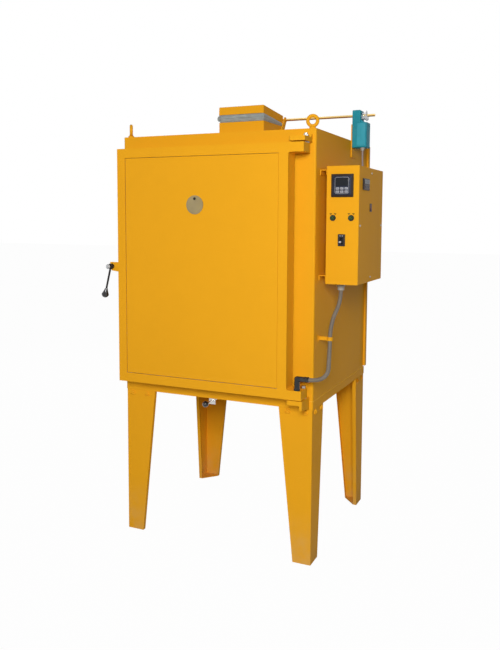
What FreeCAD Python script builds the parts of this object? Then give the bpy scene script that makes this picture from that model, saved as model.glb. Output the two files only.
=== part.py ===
import FreeCAD, Part
import math
import os

# Electric box kiln on four folded legs. Millimetres, +Z up, +X to the right of someone facing the
# door, which is in the -Y side. It is built about the middle of its case, and then moved so that
# the origin is on the floor under the middle of its bounding box.

V = FreeCAD.Vector
X = V(1, 0, 0)
Y = V(0, 1, 0)
Z = V(0, 0, 1)

# Clearances: running fit, loose fit and the room round a bar in its groove
FIT = 0.05
SLIP = 0.3

# Case
BODY_W = 950
BODY_D = 830
LEG_H = 695
BAND_H = 38
TRAY_SHEET = 3
SHEET = 2.5
CORNER_R = 8
R = BODY_W / 2
FRONT = -BODY_D / 2
REAR = BODY_D / 2
BAND_Z = LEG_H + BAND_H

# Rear panel and the pan over the terminals
REAR_PANEL = 3
REAR_PAN = 27
REAR_PAN_PROUD = 10
PAN_LIP = 12
PAN_SCREW_R = 5
LOUVRE_ROWS = 4
LOUVRE_STEP = 18
LOUVRE_X = 190
LOUVRE_Z = 60
LOUVRE_LEN = 160
LOUVRE_H = 6
REAR_SHEET = REAR - REAR_PAN

# Chamber and the two layers around it
CHAMBER_W = 580
CHAMBER_H = 820
CHAMBER_D = 650
HOT = 64
BACK_FLOOR = 83
BACK_ROOF = 126
CH = CHAMBER_W / 2
HOT_X = CH + HOT
HOT_FLOOR = BAND_Z + BACK_FLOOR
CHAMBER_Z = HOT_FLOOR + HOT
ROOF_Z = CHAMBER_Z + CHAMBER_H
HOT_ROOF = ROOF_Z + HOT
TOP_Z = HOT_ROOF + BACK_ROOF
CHAMBER_REAR = FRONT + CHAMBER_D
HOT_REAR = CHAMBER_REAR + HOT

# Door, with its insets from the case's left, right, band and roof
DOOR_IN_LEFT = 26
DOOR_IN_RIGHT = 87
DOOR_IN_LOW = 23
DOOR_IN_TOP = 63
DOOR_STAND = 95
DOOR_GAP = 20
DOOR_SHEET = 3
DOOR_RIM = 42
PANEL_SHEET = 2
PANEL_FOLD = 12
PANEL_SUNK = 1
SEAM = 1.5
EAR_REACH = 67
EAR_H = 40
PLUG_IN = 45
PLUG_CLEAR = 8
GASKET_W = 40
GASKET_OVER = 9
GASKET_CORNER = 20
DOOR_LEFT = -R + DOOR_IN_LEFT
DOOR_RIGHT = R - DOOR_IN_RIGHT
DOOR_BOTTOM = BAND_Z + DOOR_IN_LOW
DOOR_TOP = TOP_Z - DOOR_IN_TOP
DOOR_FRONT = FRONT - DOOR_STAND
DOOR_BACK = FRONT - DOOR_GAP
PANEL_Y = DOOR_FRONT + PANEL_SUNK
EAR_END = DOOR_RIGHT + EAR_REACH

# Door hinge
PIN_R = 8
PIN_IN = 14
PIN_BACK = 10
PIN_NUT = 20
PIN_NUT_H = 10
HINGE_GAP = 5
HINGE_WASHER = 3
BRACKET_T = 20
BRACKET_W = 71
BRACKET_OUT = 4
BRACKET_NOSE = 9
GUSSET_T = 12
GUSSET_TOP = 13
GUSSET_LOW = 34
GUSSET_LOW_TOE = 19
PIN_X = EAR_END - PIN_IN
PIN_Y = DOOR_BACK - PIN_BACK

# Peephole
PEEP_LEFT = 15.5
PEEP_BELOW = 227
PEEP_DROP = 33
PEEP_R = 10
PEEP_TUBE_R = 15
PEEP_SCREW_R = 3
PEEP_SCREW_LEN = 30
PEEP_HEAD_R = 6
PEEP_HEAD_H = 4
COVER_R = 41
COVER_DROP = 27
COVER_T = 3
COVER_RIM = 4
COVER_BOSS_R = 9
PEEP_X = (DOOR_LEFT + DOOR_RIGHT) / 2 - PEEP_LEFT
PEEP_PIVOT_Z = DOOR_TOP - PEEP_BELOW
PEEP_Z = PEEP_PIVOT_Z - PEEP_DROP

# Latch
LATCH_OUT = 9
LATCH_RISE = 535
LATCH_SHAFT_R = 6
LATCH_TAB = 6
LATCH_TAB_IN = 10
BUSH_R = 9
BUSH_LEN = 30
HUB_R = 13
HUB_LEN = 18
LEVER_R = 4.5
LATCH_TILT = 14
LEVER_LEN = 128
KNOB_LEN = 46
KNOB_R = 17
KNOB_NECK = 6
CAM_T = 10
CAM_REACH = 34
KEEPER_T = 6
KEEPER_BACK = 6
LATCH_X = -R - LATCH_OUT
LATCH_Z = DOOR_BOTTOM + LATCH_RISE
KEEPER_Y = FRONT + KEEPER_BACK

# Heating elements: coils, taken here as round bars, in grooves of the hot face
ELEMENT_R = 7
GROOVE_H = 22
GROOVE_DEEP = 22
RUNS = 6
ELEMENT_BEND = 12
ELEMENT_MARGIN = 40
TERMINAL_R = 10
TERMINAL_OUT = 16
PORCELAIN_OUT = 6
SIDE_X = CH + GROOVE_DEEP - ELEMENT_R - SLIP
SIDE_FRONT = FRONT + PLUG_IN + ELEMENT_MARGIN
SIDE_REAR = CHAMBER_REAR - ELEMENT_MARGIN
REAR_Y = CHAMBER_REAR + GROOVE_DEEP - ELEMENT_R - SLIP
REAR_X = CH - ELEMENT_MARGIN
DOOR_Y = FRONT + PLUG_IN - GROOVE_DEEP + ELEMENT_R + SLIP
DOOR_X = CH - PLUG_CLEAR - ELEMENT_MARGIN
TAIL_END = REAR_SHEET + TERMINAL_OUT

# Thermocouples
THERMOCOUPLE_X = 80
THERMOCOUPLE_R = 6
THERMOCOUPLE_IN = 70
HEAD_W = 36
HEAD_H = 28
HEAD_D = 18

# Hearth
POST_H = 30
POST_R = 20
SHELF_T = 16
SHELF_MARGIN = 50
SHELF_CORNER = 12

# Vent: its collar, flue, lid and rod
VENT_W = 234
VENT_D = 238
VENT_H = 84
VENT_BACK = 280
VENT_SHEET = 2
FLUE_R = 45
FLUE_WALL = 7
ROD_BEHIND = 22
ROD_RISE = 34
VENT_ROD_R = 6.35
ROD_START = 8
ROD_OVER = 31
BEARING_R = 14
BEARING_W = 40
BEARING_LOW = 30
LUG_T = 6
LUG_GAP = 3
LID_H = 38
LID_TILT = 4.5
LID_SETBACK = 12
LID_LEN = 250
LID_LUG_X = 80
LID_LUG_R = 13
PAD_ROLL = 6
PAD_BACK = 6
VENT_X = VENT_W / 2
VENT_FRONT = FRONT + VENT_BACK
VENT_REAR = VENT_FRONT + VENT_D
VENT_MID_Y = VENT_FRONT + VENT_D / 2
VENT_TOP = TOP_Z + VENT_H
ROD_AXIS_Y = VENT_REAR + ROD_BEHIND
ROD_AXIS_Z = VENT_TOP + ROD_RISE

# Actuator and its clamp
ACT_PLATE = 5
ACT_W = 71
ACT_D = 70
ACT_H = 177
ACT_DROP = 153
ACT_NECK_W = 40
ACT_STEP = 118
ACT_ROUND = 5
CLAMP_W = 28
CLAMP_HUB_R = 15
CLAMP_BOLT_R = 3
CLAMP_BOLT_SPREAD = 11
CLAMP_BOLT_UP = 27
CLAMP_BOLT_DOWN = 20
ACT_X = R + ACT_PLATE
ACT_Z = ROD_AXIS_Z - ACT_DROP
ACT_FRONT = ROD_AXIS_Y - ACT_D / 2

# Control box
BOX_GAP = 31
BOX_W = 140
BOX_D = 400
BOX_H = 498
BOX_BACK = 50
BOX_BELOW = 154
BOX_SHEET = 2
BOX_LIP = 18
COVER_SCREW_IN = 22
SCREW_R = 4.5
SCREW_H = 2.6
BOX_RAIL_H = 22
BOX_RAIL_IN = 14
BOX_RAIL_SHEET = 3
CONTACTOR_W = 60
CONTACTOR_H = 72
CONTACTOR_BASE = 45
CONTACTOR_CROWN = 30
CONTACTOR_STEP = 80
CROWN_IN = 5
CROWN_LOW = 14
BLOCKS = 12
BLOCK_W = 10
BLOCK_STEP = 12
BLOCK_H = 44
BLOCK_REACH = 40
BLOCK_DROP = 60
BLOCK_RAIL_T = 6
BLOCK_RAIL_IN = 8
BOX_X = R + BOX_GAP
BOX_END = BOX_X + BOX_W
COVER_X = BOX_END + BOX_SHEET
BOX_FRONT = FRONT + BOX_BACK
BOX_REAR = BOX_FRONT + BOX_D
BOX_TOP = TOP_Z - BOX_BELOW
BOX_Z = BOX_TOP - BOX_H
BOX_MID = BOX_X + BOX_W / 2

# Nipple between the box and the case
NIPPLE_R = 16
NIPPLE_BORE_R = 12
NIPPLE_NUT = 46
NIPPLE_NUT_H = 6
NIPPLE_Y = BOX_FRONT + BOX_D * 0.6
NIPPLE_Z = BOX_Z + BOX_H * 0.22

# Controls in the box
DIN = 96
BEZEL = 8
BEZEL_OUT = 7
BEZEL_SUNK = 2
CONTROLLER_DROP = 34
KEY_W = 14
KEY_H = 9
KEY_STEP_X = 23
KEY_STEP_Z = 14
KEY_LOW = 13
SELECTOR_DROP = 217
SELECTOR_STEP = 79
SELECTOR_R = 11
SELECTOR_RING = 4
SELECTOR_DEEP = 40
GRIP_W = 6
GRIP_OUT = 18
BREAKER_DROP = 285
BREAKER_W = 30
BREAKER_H = 50
BREAKER_OUT = 6
BREAKER_DEEP = 60
BREAKER_SIDE = 9
TOGGLE_R = 6
TOGGLE_LEN = 26
TOGGLE_LOW = 16
LIMIT_BACK = 51
LIMIT_DROP = 50
LIMIT_H = 48
LIMIT_OUT = 6
LIMIT_DEEP = 80
ROCKER_BACK = 172
ROCKER_DROP = 154
ROCKER_W = 26
ROCKER_H = 35
ROCKER_FRAME = 4
ROCKER_DEEP = 24
ROCKER_HUB_R = 3
ROCKER_TIP = 9
CONTROLLER_X = BOX_MID - DIN / 2
CONTROLLER_TOP = BOX_TOP - CONTROLLER_DROP
SELECTOR_Z = BOX_TOP - SELECTOR_DROP
BREAKER_X = BOX_MID - BREAKER_W / 2
BREAKER_TOP = BOX_TOP - BREAKER_DROP
TOGGLE_Y = BOX_FRONT + 2
TOGGLE_Z = BREAKER_TOP - BREAKER_H / 2 - 4
LIMIT_Y = BOX_FRONT + LIMIT_BACK
LIMIT_TOP = BOX_TOP - LIMIT_DROP
ROCKER_Y = BOX_FRONT + ROCKER_BACK
ROCKER_Z = BOX_TOP - ROCKER_DROP - ROCKER_H

# Legs, their cleats and bolts
LEG_INSET = 3
LEG_SHEET = 3
LEG_TOP_X = 156
LEG_TOP_Y = 148
LEG_FOOT_X = 84
LEG_FOOT_Y = 93
LEG_LIP = 18
FOOT_T = 4
CLEAT_T = 4
CLEAT_H = 40
CLEAT_LEN = 132
LEG_BOLT_DROP = 15
LEG_BOLTS = (32, 113)
BOLT_R = 5
BOLT_ACROSS = 16
BOLT_HEAD = 6.4
BOLT_NUT = 8

# Air inlet under the floor
INLET_LEFT = 20
INLET_BACK = 330
INLET_R = 25
SLIDE_W = 80
SLIDE_LEN = 110
SLIDE_T = 3
SLIDE_TRAVEL = 85
GUIDE_T = 3
GUIDE_LIP = 2
GUIDE_UNDER = 10
PULL_R = 4
PULL_DROP = 13
PULL_OUT = 45
PULL_KNOB_R = 14
PULL_GUIDE_BACK = 20
INLET_X = -INLET_LEFT
INLET_Y = FRONT + INLET_BACK
SLIDE_Z = LEG_H - SLIP - SLIDE_T
PULL_Z = SLIDE_Z - PULL_DROP
PULL_KNOB_Y = FRONT - PULL_OUT

# Cable from the actuator to the control box
CABLE_R = 4
CABLE_ACROSS = 17
CABLE_GLAND = 16
CABLE_RUN = 22
CABLE_IN = 50
CABLE_BACK = 13
CABLE_BELOW = 75
CABLE_X = ACT_X + CABLE_IN
CABLE_Y = ACT_FRONT + CABLE_BACK
CABLE_LOW = BOX_TOP - CABLE_BELOW

# Conduit from the control box to the door
CONDUIT_R = 9
CONDUIT_IN = 14
CONDUIT_OUT = 66
ELBOW_IN = 23
ELBOW_BACK = 14
ELBOW_R = 12.5
ELBOW_RISE = 50
ELBOW_OUT = 53
FERRULE = 22
CLIP_RISE = 154
CLIP_OUT = 50
CLIP_BACK = 20
CLIP_HALF = 8
BOX_GLAND = 30
BOX_GLAND_ACROSS = 32
BOX_GLAND_IN = 49
BOX_GLAND_BACK = 71
ELBOW_X = EAR_END - ELBOW_IN
ELBOW_Y = DOOR_FRONT + ELBOW_BACK
ELBOW_Z = DOOR_BOTTOM + EAR_H + ELBOW_RISE
CLIP_Y = BOX_FRONT + CLIP_BACK
CLIP_Z = ELBOW_Z + CLIP_RISE
BOX_GLAND_X = BOX_X + BOX_GLAND_IN
BOX_GLAND_Y = BOX_FRONT + BOX_GLAND_BACK

# Lifting eyes, and how far each is turned from facing front
EYE_INSET = 25
EYE_R = 21
EYE_BAR = 7.5
EYE_SEAT = 3
EYE_COLLAR_R = 14
EYE_COLLAR_H = 8
EYE_STUD_R = 6
EYE_STUD_LEN = 22
EYE_TURNS = (70, 8, 25, -40)


def box(x0, x1, y0, y1, z0, z1):
    return Part.makeBox(x1 - x0, y1 - y0, z1 - z0, V(x0, y0, z0))


def rod(radius, start, length, along):
    return Part.makeCylinder(radius, length, start, along)


def pipe(outer, inner, start, length, along):
    return rod(outer, start, length, along).cut(rod(inner, start, length, along))


def prism(points, along):
    """Closed outline, swept straight along a vector."""
    corners = [V(*p) for p in points]
    return Part.Face(Part.makePolygon(corners + corners[:1])).extrude(along)


def join(shapes):
    first, rest = shapes[0], shapes[1:]
    return first.multiFuse(rest).removeSplitter() if rest else first


def round_edges(shape, radius, wanted):
    """Fillet of the edges for which wanted(edge) holds."""
    return shape.makeFillet(radius, [e for e in shape.Edges if wanted(e)])


def runs_along(edge, axis):
    straight = edge.Curve.TypeId == "Part::GeomLine"
    return straight and abs(edge.tangentAt(edge.FirstParameter).dot(axis)) > 0.999


def hexagon(across, start, length, along):
    """Hexagonal prism, given the width across its flats."""
    u = V(along.y, along.z, along.x)
    v = along.cross(u)
    r = across / math.sqrt(3)
    turns = [math.radians(60 * k) for k in range(6)]
    corners = [start + u * (r * math.cos(a)) + v * (r * math.sin(a)) for a in turns]
    return Part.Face(Part.makePolygon(corners + corners[:1])).extrude(along * length)


def write(kiln):
    """Move the kiln to its origin, and write each node of it to a file of its own."""
    nodes = {}
    for name, shapes in kiln.items():
        solids = [s for shape in shapes for s in shape.Solids]
        if not all(s.isValid() and s.Volume > 0 for s in solids):
            raise ValueError(name + " has a solid that is not valid")
        nodes[name] = solids[0] if len(solids) == 1 else Part.makeCompound(solids)
    whole = Part.makeCompound(list(nodes.values())).optimalBoundingBox()
    shift = V(-whole.Center.x, -whole.Center.y, -whole.ZMin)
    print("moved by", round(shift.x, 2), round(shift.y, 2), round(shift.z, 2))
    os.makedirs("parts", exist_ok=True)
    for name, shape in nodes.items():
        shape.translated(shift).exportStep("parts/" + name + ".step")


def both_sides(shape):
    return [shape, shape.mirror(V(0, 0, 0), X)]


def four_corners(shape):
    """The piece of the front right corner and its mirror images at the other three."""
    return both_sides(shape) + both_sides(shape.mirror(V(0, 0, 0), Y))


# Base tray with the cleats that the legs bolt to

def leg_cleat():
    outer_x = R - LEG_INSET - LEG_SHEET
    outer_y = FRONT + LEG_INSET + LEG_SHEET
    low = LEG_H - CLEAT_H
    cleat = join([
        box(outer_x - CLEAT_LEN, outer_x, outer_y, outer_y + CLEAT_T, low, LEG_H),
        box(outer_x - CLEAT_T, outer_x, outer_y, outer_y + CLEAT_LEN, low, LEG_H)])
    return cleat.cut(join(leg_bolt_rods(BOLT_R + SLIP)))


def leg_bolt_rods(radius):
    """Rods where the bolts of the front right leg run, through its two flanges."""
    z = LEG_H - LEG_BOLT_DROP
    corner_x = R - LEG_INSET
    corner_y = FRONT + LEG_INSET
    length = LEG_SHEET + CLEAT_T
    front = [rod(radius, V(corner_x - d, corner_y, z), length, Y) for d in LEG_BOLTS]
    side = [rod(radius, V(corner_x, corner_y + d, z), length, -X) for d in LEG_BOLTS]
    return front + side


def base_tray():
    t = TRAY_SHEET
    outer = box(-R, R, FRONT, REAR, LEG_H, BAND_Z)
    outer = round_edges(outer, CORNER_R, lambda e: runs_along(e, Z))
    inner = box(-R + t, R - t, FRONT + t, REAR - t, LEG_H + t, BAND_Z)
    tray = outer.cut(inner).cut(inlet_bore())
    return join([tray] + four_corners(leg_cleat()))


def inlet_bore(low=LEG_H):
    return rod(INLET_R, V(INLET_X, INLET_Y, low), CHAMBER_Z - low, Z)


# Legs

def leg():
    """Folded, tapered angle with a return lip on each free edge and a foot plate. Front right."""
    x = R - LEG_INSET
    y = FRONT + LEG_INSET
    t = LEG_SHEET
    top_x = x - LEG_TOP_X
    foot_x = x - LEG_FOOT_X
    top_y = y + LEG_TOP_Y
    foot_y = y + LEG_FOOT_Y
    front = prism([(x, y, 0), (foot_x, y, 0), (top_x, y, LEG_H), (x, y, LEG_H)], Y * t)
    front_lip = prism([(foot_x, y, 0), (foot_x + t, y, 0), (top_x + t, y, LEG_H), (top_x, y, LEG_H)],
                      Y * LEG_LIP)
    side = prism([(x, y, 0), (x, foot_y, 0), (x, top_y, LEG_H), (x, y, LEG_H)], X * -t)
    side_lip = prism([(x, foot_y, 0), (x, foot_y - t, 0), (x, top_y - t, LEG_H), (x, top_y, LEG_H)],
                     X * -LEG_LIP)
    foot = prism([(x, y, 0), (foot_x, y, 0), (foot_x, y + LEG_LIP, 0),
                  (x - LEG_LIP, foot_y, 0), (x, foot_y, 0)], Z * FOOT_T)
    angle = join([front, side, front_lip, side_lip, foot])
    fold = [e for e in angle.Edges if runs_along(e, Z) and e.BoundBox.XMax > x - 0.1
            and e.BoundBox.YMin < y + 0.1]
    angle = angle.makeFillet(t * 0.9, fold)
    return angle.cut(join(leg_bolt_rods(BOLT_R + SLIP)))


def leg_bolts():
    """Hexagon head outside, nut inside, on the front right leg."""
    z = LEG_H - LEG_BOLT_DROP
    x = R - LEG_INSET
    y = FRONT + LEG_INSET
    grip = LEG_SHEET + CLEAT_T
    bolts = []
    for d in LEG_BOLTS:
        for start, along in ((V(x - d, y, z), Y), (V(x, y + d, z), -X)):
            shank = rod(BOLT_R, start, grip + BOLT_NUT + 2, along)
            head = hexagon(BOLT_ACROSS, start - along * BOLT_HEAD, BOLT_HEAD, along)
            nut = hexagon(BOLT_ACROSS, start + along * grip, BOLT_NUT, along)
            bolts.append(join([head, shank, nut]))
    return bolts


# Case sheets

def case_wrap():
    """Left side, top, right side and front in one welded piece, open at the rear and below."""
    outer = box(-R, R, FRONT, REAR_SHEET, BAND_Z, TOP_Z)
    corners = lambda e: runs_along(e, Z) and e.BoundBox.YMax < FRONT + 1
    outer = round_edges(outer, CORNER_R, corners)
    inner = box(-R + SHEET, R - SHEET, FRONT + SHEET, REAR_SHEET, BAND_Z, TOP_Z - SHEET)
    mouth = box(-HOT_X, HOT_X, FRONT, FRONT + SHEET, HOT_FLOOR, HOT_ROOF)
    holes = [flue_bore(), nipple_bore()] + [eye_stud(x, y, SLIP) for x, y in eye_places()]
    return outer.cut(inner).cut(mouth).cut(join(holes))


def rear_panel():
    panel = box(-R + SHEET, R - SHEET, REAR_SHEET - REAR_PANEL, REAR_SHEET, BAND_Z, TOP_Z - SHEET)
    return panel.cut(join(tail_bores() + thermocouple_bores()))


def rear_cover():
    """Shallow pan over the terminals, standing a little proud of both sides of the case."""
    side = R + REAR_PAN_PROUD
    low = BAND_Z + 8
    top = TOP_Z - 2
    outer = box(-side, side, REAR_SHEET, REAR, low, top)
    inner = box(-R + PAN_LIP, R - PAN_LIP, REAR_SHEET, REAR - VENT_SHEET, low + PAN_LIP, top - PAN_LIP)
    slots = []
    for row in range(LOUVRE_ROWS):
        for x in (-LOUVRE_X, LOUVRE_X):
            z = low + LOUVRE_Z + row * LOUVRE_STEP
            slots.append(box(x - LOUVRE_LEN / 2, x + LOUVRE_LEN / 2, REAR - VENT_SHEET, REAR,
                             z, z + LOUVRE_H))
    return outer.cut(inner).cut(join(slots))


def rear_cover_screws():
    screws = []
    for x in (-R + PAN_LIP / 3, 0, R - PAN_LIP / 3):
        for z in (BAND_Z + 14, TOP_Z - 8):
            screws.append(rod(PAN_SCREW_R, V(x, REAR, z), SCREW_H, Y))
    return screws


# Heating elements and the grooves that hold them

def run_heights():
    """The runs are spread evenly up the chamber wall."""
    step = CHAMBER_H / RUNS
    return [CHAMBER_Z + step * (k + 0.5) for k in range(RUNS)]


def serpentine(near, far):
    """Corners (a, z) of an element that starts and ends at the near end of the wall."""
    corners = []
    for k, z in enumerate(run_heights()):
        ends = (near, far) if k % 2 == 0 else (far, near)
        corners += [(a, z) for a in ends]
    return corners


def groove_rects(near, far):
    """Rectangles (a0, a1, z0, z1) of the grooves round that element."""
    half = GROOVE_H / 2
    low, high = min(near, far) - half, max(near, far) + half
    heights = run_heights()
    rects = [(low, high, z - half, z + half) for z in heights]
    for k, (below, above) in enumerate(zip(heights, heights[1:])):
        a = far if k % 2 == 0 else near
        rects.append((a - half, a + half, below, above))
    return rects


def bar(points, radius, bend):
    """Round bar along straight runs, with the same arc at every corner."""
    corners = [V(*p) for p in points]
    edges = []
    start = corners[0]
    for before, here, after in zip(corners, corners[1:], corners[2:]):
        to_before = (before - here).normalize()
        to_after = (after - here).normalize()
        half = to_before.getAngle(to_after) / 2
        back = bend / math.tan(half)
        inward = (to_before + to_after).normalize()
        p = here + to_before * back
        q = here + to_after * back
        mid = here + inward * (bend / math.sin(half) - bend)
        edges += [Part.makeLine(start, p), Part.Arc(p, mid, q).toShape()]
        start = q
    edges.append(Part.makeLine(start, corners[-1]))
    way = (corners[1] - corners[0]).normalize()
    section = Part.Wire([Part.makeCircle(radius, corners[0], way)])
    return Part.Wire(edges).makePipeShell([section], True, False)


def element_side():
    """Element of the right wall. Both of its tails run straight back through the rear wall."""
    corners = serpentine(SIDE_REAR, SIDE_FRONT)
    corners[0] = (TAIL_END, corners[0][1])
    corners[-1] = (TAIL_END, corners[-1][1])
    return bar([(SIDE_X, y, z) for y, z in corners], ELEMENT_R, ELEMENT_BEND)


def element_cross(near, y, tail_y):
    """Element across the kiln, with tails that turn to tail_y at its near end."""
    corners = [(x, y, z) for x, z in serpentine(near, -near)]
    first, last = corners[0], corners[-1]
    tails = [(first[0], tail_y, first[2]), (last[0], tail_y, last[2])]
    return bar([tails[0]] + corners + [tails[1]], ELEMENT_R, ELEMENT_BEND)


def tail_places():
    """Where the tails of the wall elements pass through the rear wall."""
    ends = (run_heights()[0], run_heights()[-1])
    return [(x, z) for x in (-SIDE_X, -REAR_X, SIDE_X) for z in ends]


def tail_start(x):
    """The rear element's tails turn inside the wall, so their porcelain starts further back."""
    return REAR_Y + ELEMENT_BEND + 2 if x == -REAR_X else CHAMBER_REAR


def tail_bores():
    return [rod(TERMINAL_R + FIT, V(x, tail_start(x), z), REAR_SHEET - tail_start(x), Y)
            for x, z in tail_places()]


def tail_wells(x, y, along):
    """Room in a wall for the bend where an element turns into each of its tails."""
    return [rod(TERMINAL_R + FIT, V(x, y, z), ELEMENT_BEND + 2, along)
            for z in (run_heights()[0], run_heights()[-1])]


def tail_porcelains():
    """Porcelain tube round each tail, from the chamber to just behind the rear panel."""
    end = REAR_SHEET + PORCELAIN_OUT
    return [pipe(TERMINAL_R, ELEMENT_R + SLIP, V(x, tail_start(x), z), end - tail_start(x), Y)
            for x, z in tail_places()]


def thermocouple_height():
    """Midway between the two highest runs."""
    return (run_heights()[-1] + run_heights()[-2]) / 2


def thermocouple_bores():
    z = thermocouple_height()
    return [rod(THERMOCOUPLE_R + FIT, V(x, CHAMBER_REAR, z), REAR_SHEET - CHAMBER_REAR, Y)
            for x in (-THERMOCOUPLE_X, THERMOCOUPLE_X)]


def thermocouple(x):
    """Closed ceramic sheath that reaches into the chamber, with its head behind the rear panel."""
    z = thermocouple_height()
    start = CHAMBER_REAR - THERMOCOUPLE_IN
    sheath = rod(THERMOCOUPLE_R, V(x, start, z), REAR_SHEET - start, Y)
    tip = Part.makeSphere(THERMOCOUPLE_R, V(x, start, z))
    head = box(x - HEAD_W / 2, x + HEAD_W / 2, REAR_SHEET, REAR_SHEET + HEAD_D,
               z - HEAD_H / 2, z + HEAD_H / 2)
    return join([sheath, tip, head])


# Insulation

def lining_side():
    """Hot face of the right wall."""
    slab = box(CH, HOT_X, FRONT, HOT_REAR, CHAMBER_Z, ROOF_Z)
    cuts = [box(CH, CH + GROOVE_DEEP, *rect) for rect in groove_rects(SIDE_REAR, SIDE_FRONT)]
    half = GROOVE_H / 2
    for z in (run_heights()[0], run_heights()[-1]):
        cuts.append(box(CH, CH + GROOVE_DEEP, SIDE_REAR, CHAMBER_REAR, z - half, z + half))
    return slab.cut(join(cuts + tail_bores()))


def lining_rear():
    slab = box(-CH, CH, CHAMBER_REAR, HOT_REAR, CHAMBER_Z, ROOF_Z)
    cuts = [box(a0, a1, CHAMBER_REAR, CHAMBER_REAR + GROOVE_DEEP, z0, z1)
            for a0, a1, z0, z1 in groove_rects(-REAR_X, REAR_X)]
    wells = tail_wells(-REAR_X, REAR_Y, Y)
    return slab.cut(join(cuts + wells + tail_bores() + thermocouple_bores()))


def lining_roof():
    return box(-HOT_X, HOT_X, FRONT, HOT_REAR, ROOF_Z, HOT_ROOF).cut(flue_bore())


def lining_floor():
    slab = box(-HOT_X, HOT_X, FRONT, HOT_REAR, HOT_FLOOR, CHAMBER_Z)
    return slab.cut(inlet_bore())


def backup_boards():
    """Board behind each hot face, and the board that fills the base tray."""
    y0 = FRONT + SHEET
    y1 = REAR_SHEET - REAR_PANEL
    side = R - SHEET
    top = TOP_Z - SHEET
    t = TRAY_SHEET
    tray = box(-R + t, R - t, FRONT + t, REAR - t, LEG_H + t, BAND_Z).cut(inlet_bore())
    floor = box(-side, side, y0, y1, BAND_Z, HOT_FLOOR).cut(inlet_bore())
    studs = join([eye_stud(x, y, SLIP) for x, y in eye_places()])
    left = box(-side, -HOT_X, y0, y1, HOT_FLOOR, top).cut(studs)
    right = box(HOT_X, side, y0, y1, HOT_FLOOR, top).cut(studs).cut(nipple_bore())
    roof = box(-HOT_X, HOT_X, y0, y1, HOT_ROOF, top).cut(flue_bore())
    rear = box(-HOT_X, HOT_X, HOT_REAR, y1, HOT_FLOOR, HOT_ROOF)
    rear = rear.cut(join(tail_bores() + thermocouple_bores()))
    return [tray, floor, left, right, roof, rear]


# Hearth

def hearth_plate():
    half = CH - SHELF_MARGIN
    y0 = FRONT + PLUG_IN + SHELF_MARGIN
    y1 = CHAMBER_REAR - SHELF_MARGIN
    z = CHAMBER_Z + POST_H
    plate = box(-half, half, y0, y1, z, z + SHELF_T)
    return round_edges(plate, SHELF_CORNER, lambda e: runs_along(e, Z))


def hearth_posts():
    inset = SHELF_MARGIN + 2 * POST_R
    ends = (FRONT + PLUG_IN + inset, CHAMBER_REAR - inset)
    return [rod(POST_R, V(x, y, CHAMBER_Z), POST_H, Z) for x in (-CH + inset, CH - inset) for y in ends]


# Vent on the roof

def flue_bore():
    return rod(FLUE_R, V(0, VENT_MID_Y, ROOF_Z), VENT_TOP - ROOF_Z, Z)


def vent_collar():
    """Sheet box on the roof that the flue rises in, with a lid bearing on each rear corner."""
    outer = box(-VENT_X, VENT_X, VENT_FRONT, VENT_REAR, TOP_Z, VENT_TOP)
    outer = round_edges(outer, 4, lambda e: runs_along(e, Z))
    t = VENT_SHEET
    hollow = box(-VENT_X + t, VENT_X - t, VENT_FRONT + t, VENT_REAR - t, TOP_Z, VENT_TOP - t)
    return join([outer.cut(hollow).cut(flue_bore())] + [lid_bearing(s) for s in (-1, 1)])


def lid_bearing(side):
    """Upright plate beside the lid that the vent rod turns in."""
    inner = side * (VENT_X + LUG_GAP)
    start, along = V(inner, 0, 0), X * side
    foot_y0 = VENT_REAR - BEARING_W
    foot_z = VENT_TOP - BEARING_LOW
    web = prism([(inner, foot_y0, foot_z), (inner, VENT_REAR, foot_z),
                 (inner, ROD_AXIS_Y + BEARING_R, ROD_AXIS_Z),
                 (inner, ROD_AXIS_Y - BEARING_R, ROD_AXIS_Z)], along * LUG_T)
    head = rod(BEARING_R, V(inner, ROD_AXIS_Y, ROD_AXIS_Z), LUG_T, along)
    foot = box(*sorted((side * VENT_X, inner + side * LUG_T)), foot_y0, VENT_REAR,
               foot_z - 12, foot_z)
    bore = rod(VENT_ROD_R + FIT, V(inner, ROD_AXIS_Y, ROD_AXIS_Z), LUG_T, along)
    return join([web, head, foot]).cut(bore)


def flue_tube():
    """Ceramic tube from the chamber roof to the collar's top."""
    return pipe(FLUE_R, FLUE_R - FLUE_WALL, V(0, VENT_MID_Y, ROOF_Z), VENT_TOP - ROOF_Z, Z)


def tilt_lid(shape):
    """Turn a level lid piece to its rest, with its front a little up on the soft pad."""
    return shape.rotated(V(0, ROD_AXIS_Y, ROD_AXIS_Z), X, -LID_TILT)


def vent_lid():
    front = ROD_AXIS_Y - LID_SETBACK - LID_LEN
    rear = ROD_AXIS_Y - LID_SETBACK
    z0 = ROD_AXIS_Z - LID_H / 2
    z1 = ROD_AXIS_Z + LID_H / 2
    t = VENT_SHEET
    outer = box(-VENT_X, VENT_X, front, rear, z0, z1)
    outer = round_edges(outer, 3, lambda e: runs_along(e, Z) or e.BoundBox.ZMin > z1 - 0.1)
    tray = outer.cut(box(-VENT_X + t, VENT_X - t, front + t, rear - t, z0, z1 - t))
    lugs = []
    for x in (-LID_LUG_X, LID_LUG_X):
        plate = box(x - LUG_T / 2, x + LUG_T / 2, rear, ROD_AXIS_Y, z0 + 6, z1 - 6)
        eye = rod(LID_LUG_R, V(x - LUG_T / 2, ROD_AXIS_Y, ROD_AXIS_Z), LUG_T, X)
        bore = rod(VENT_ROD_R + FIT, V(x - LUG_T / 2, ROD_AXIS_Y, ROD_AXIS_Z), LUG_T, X)
        lugs.append(join([plate, eye]).cut(bore))
    return tilt_lid(join([tray] + lugs))


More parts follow.
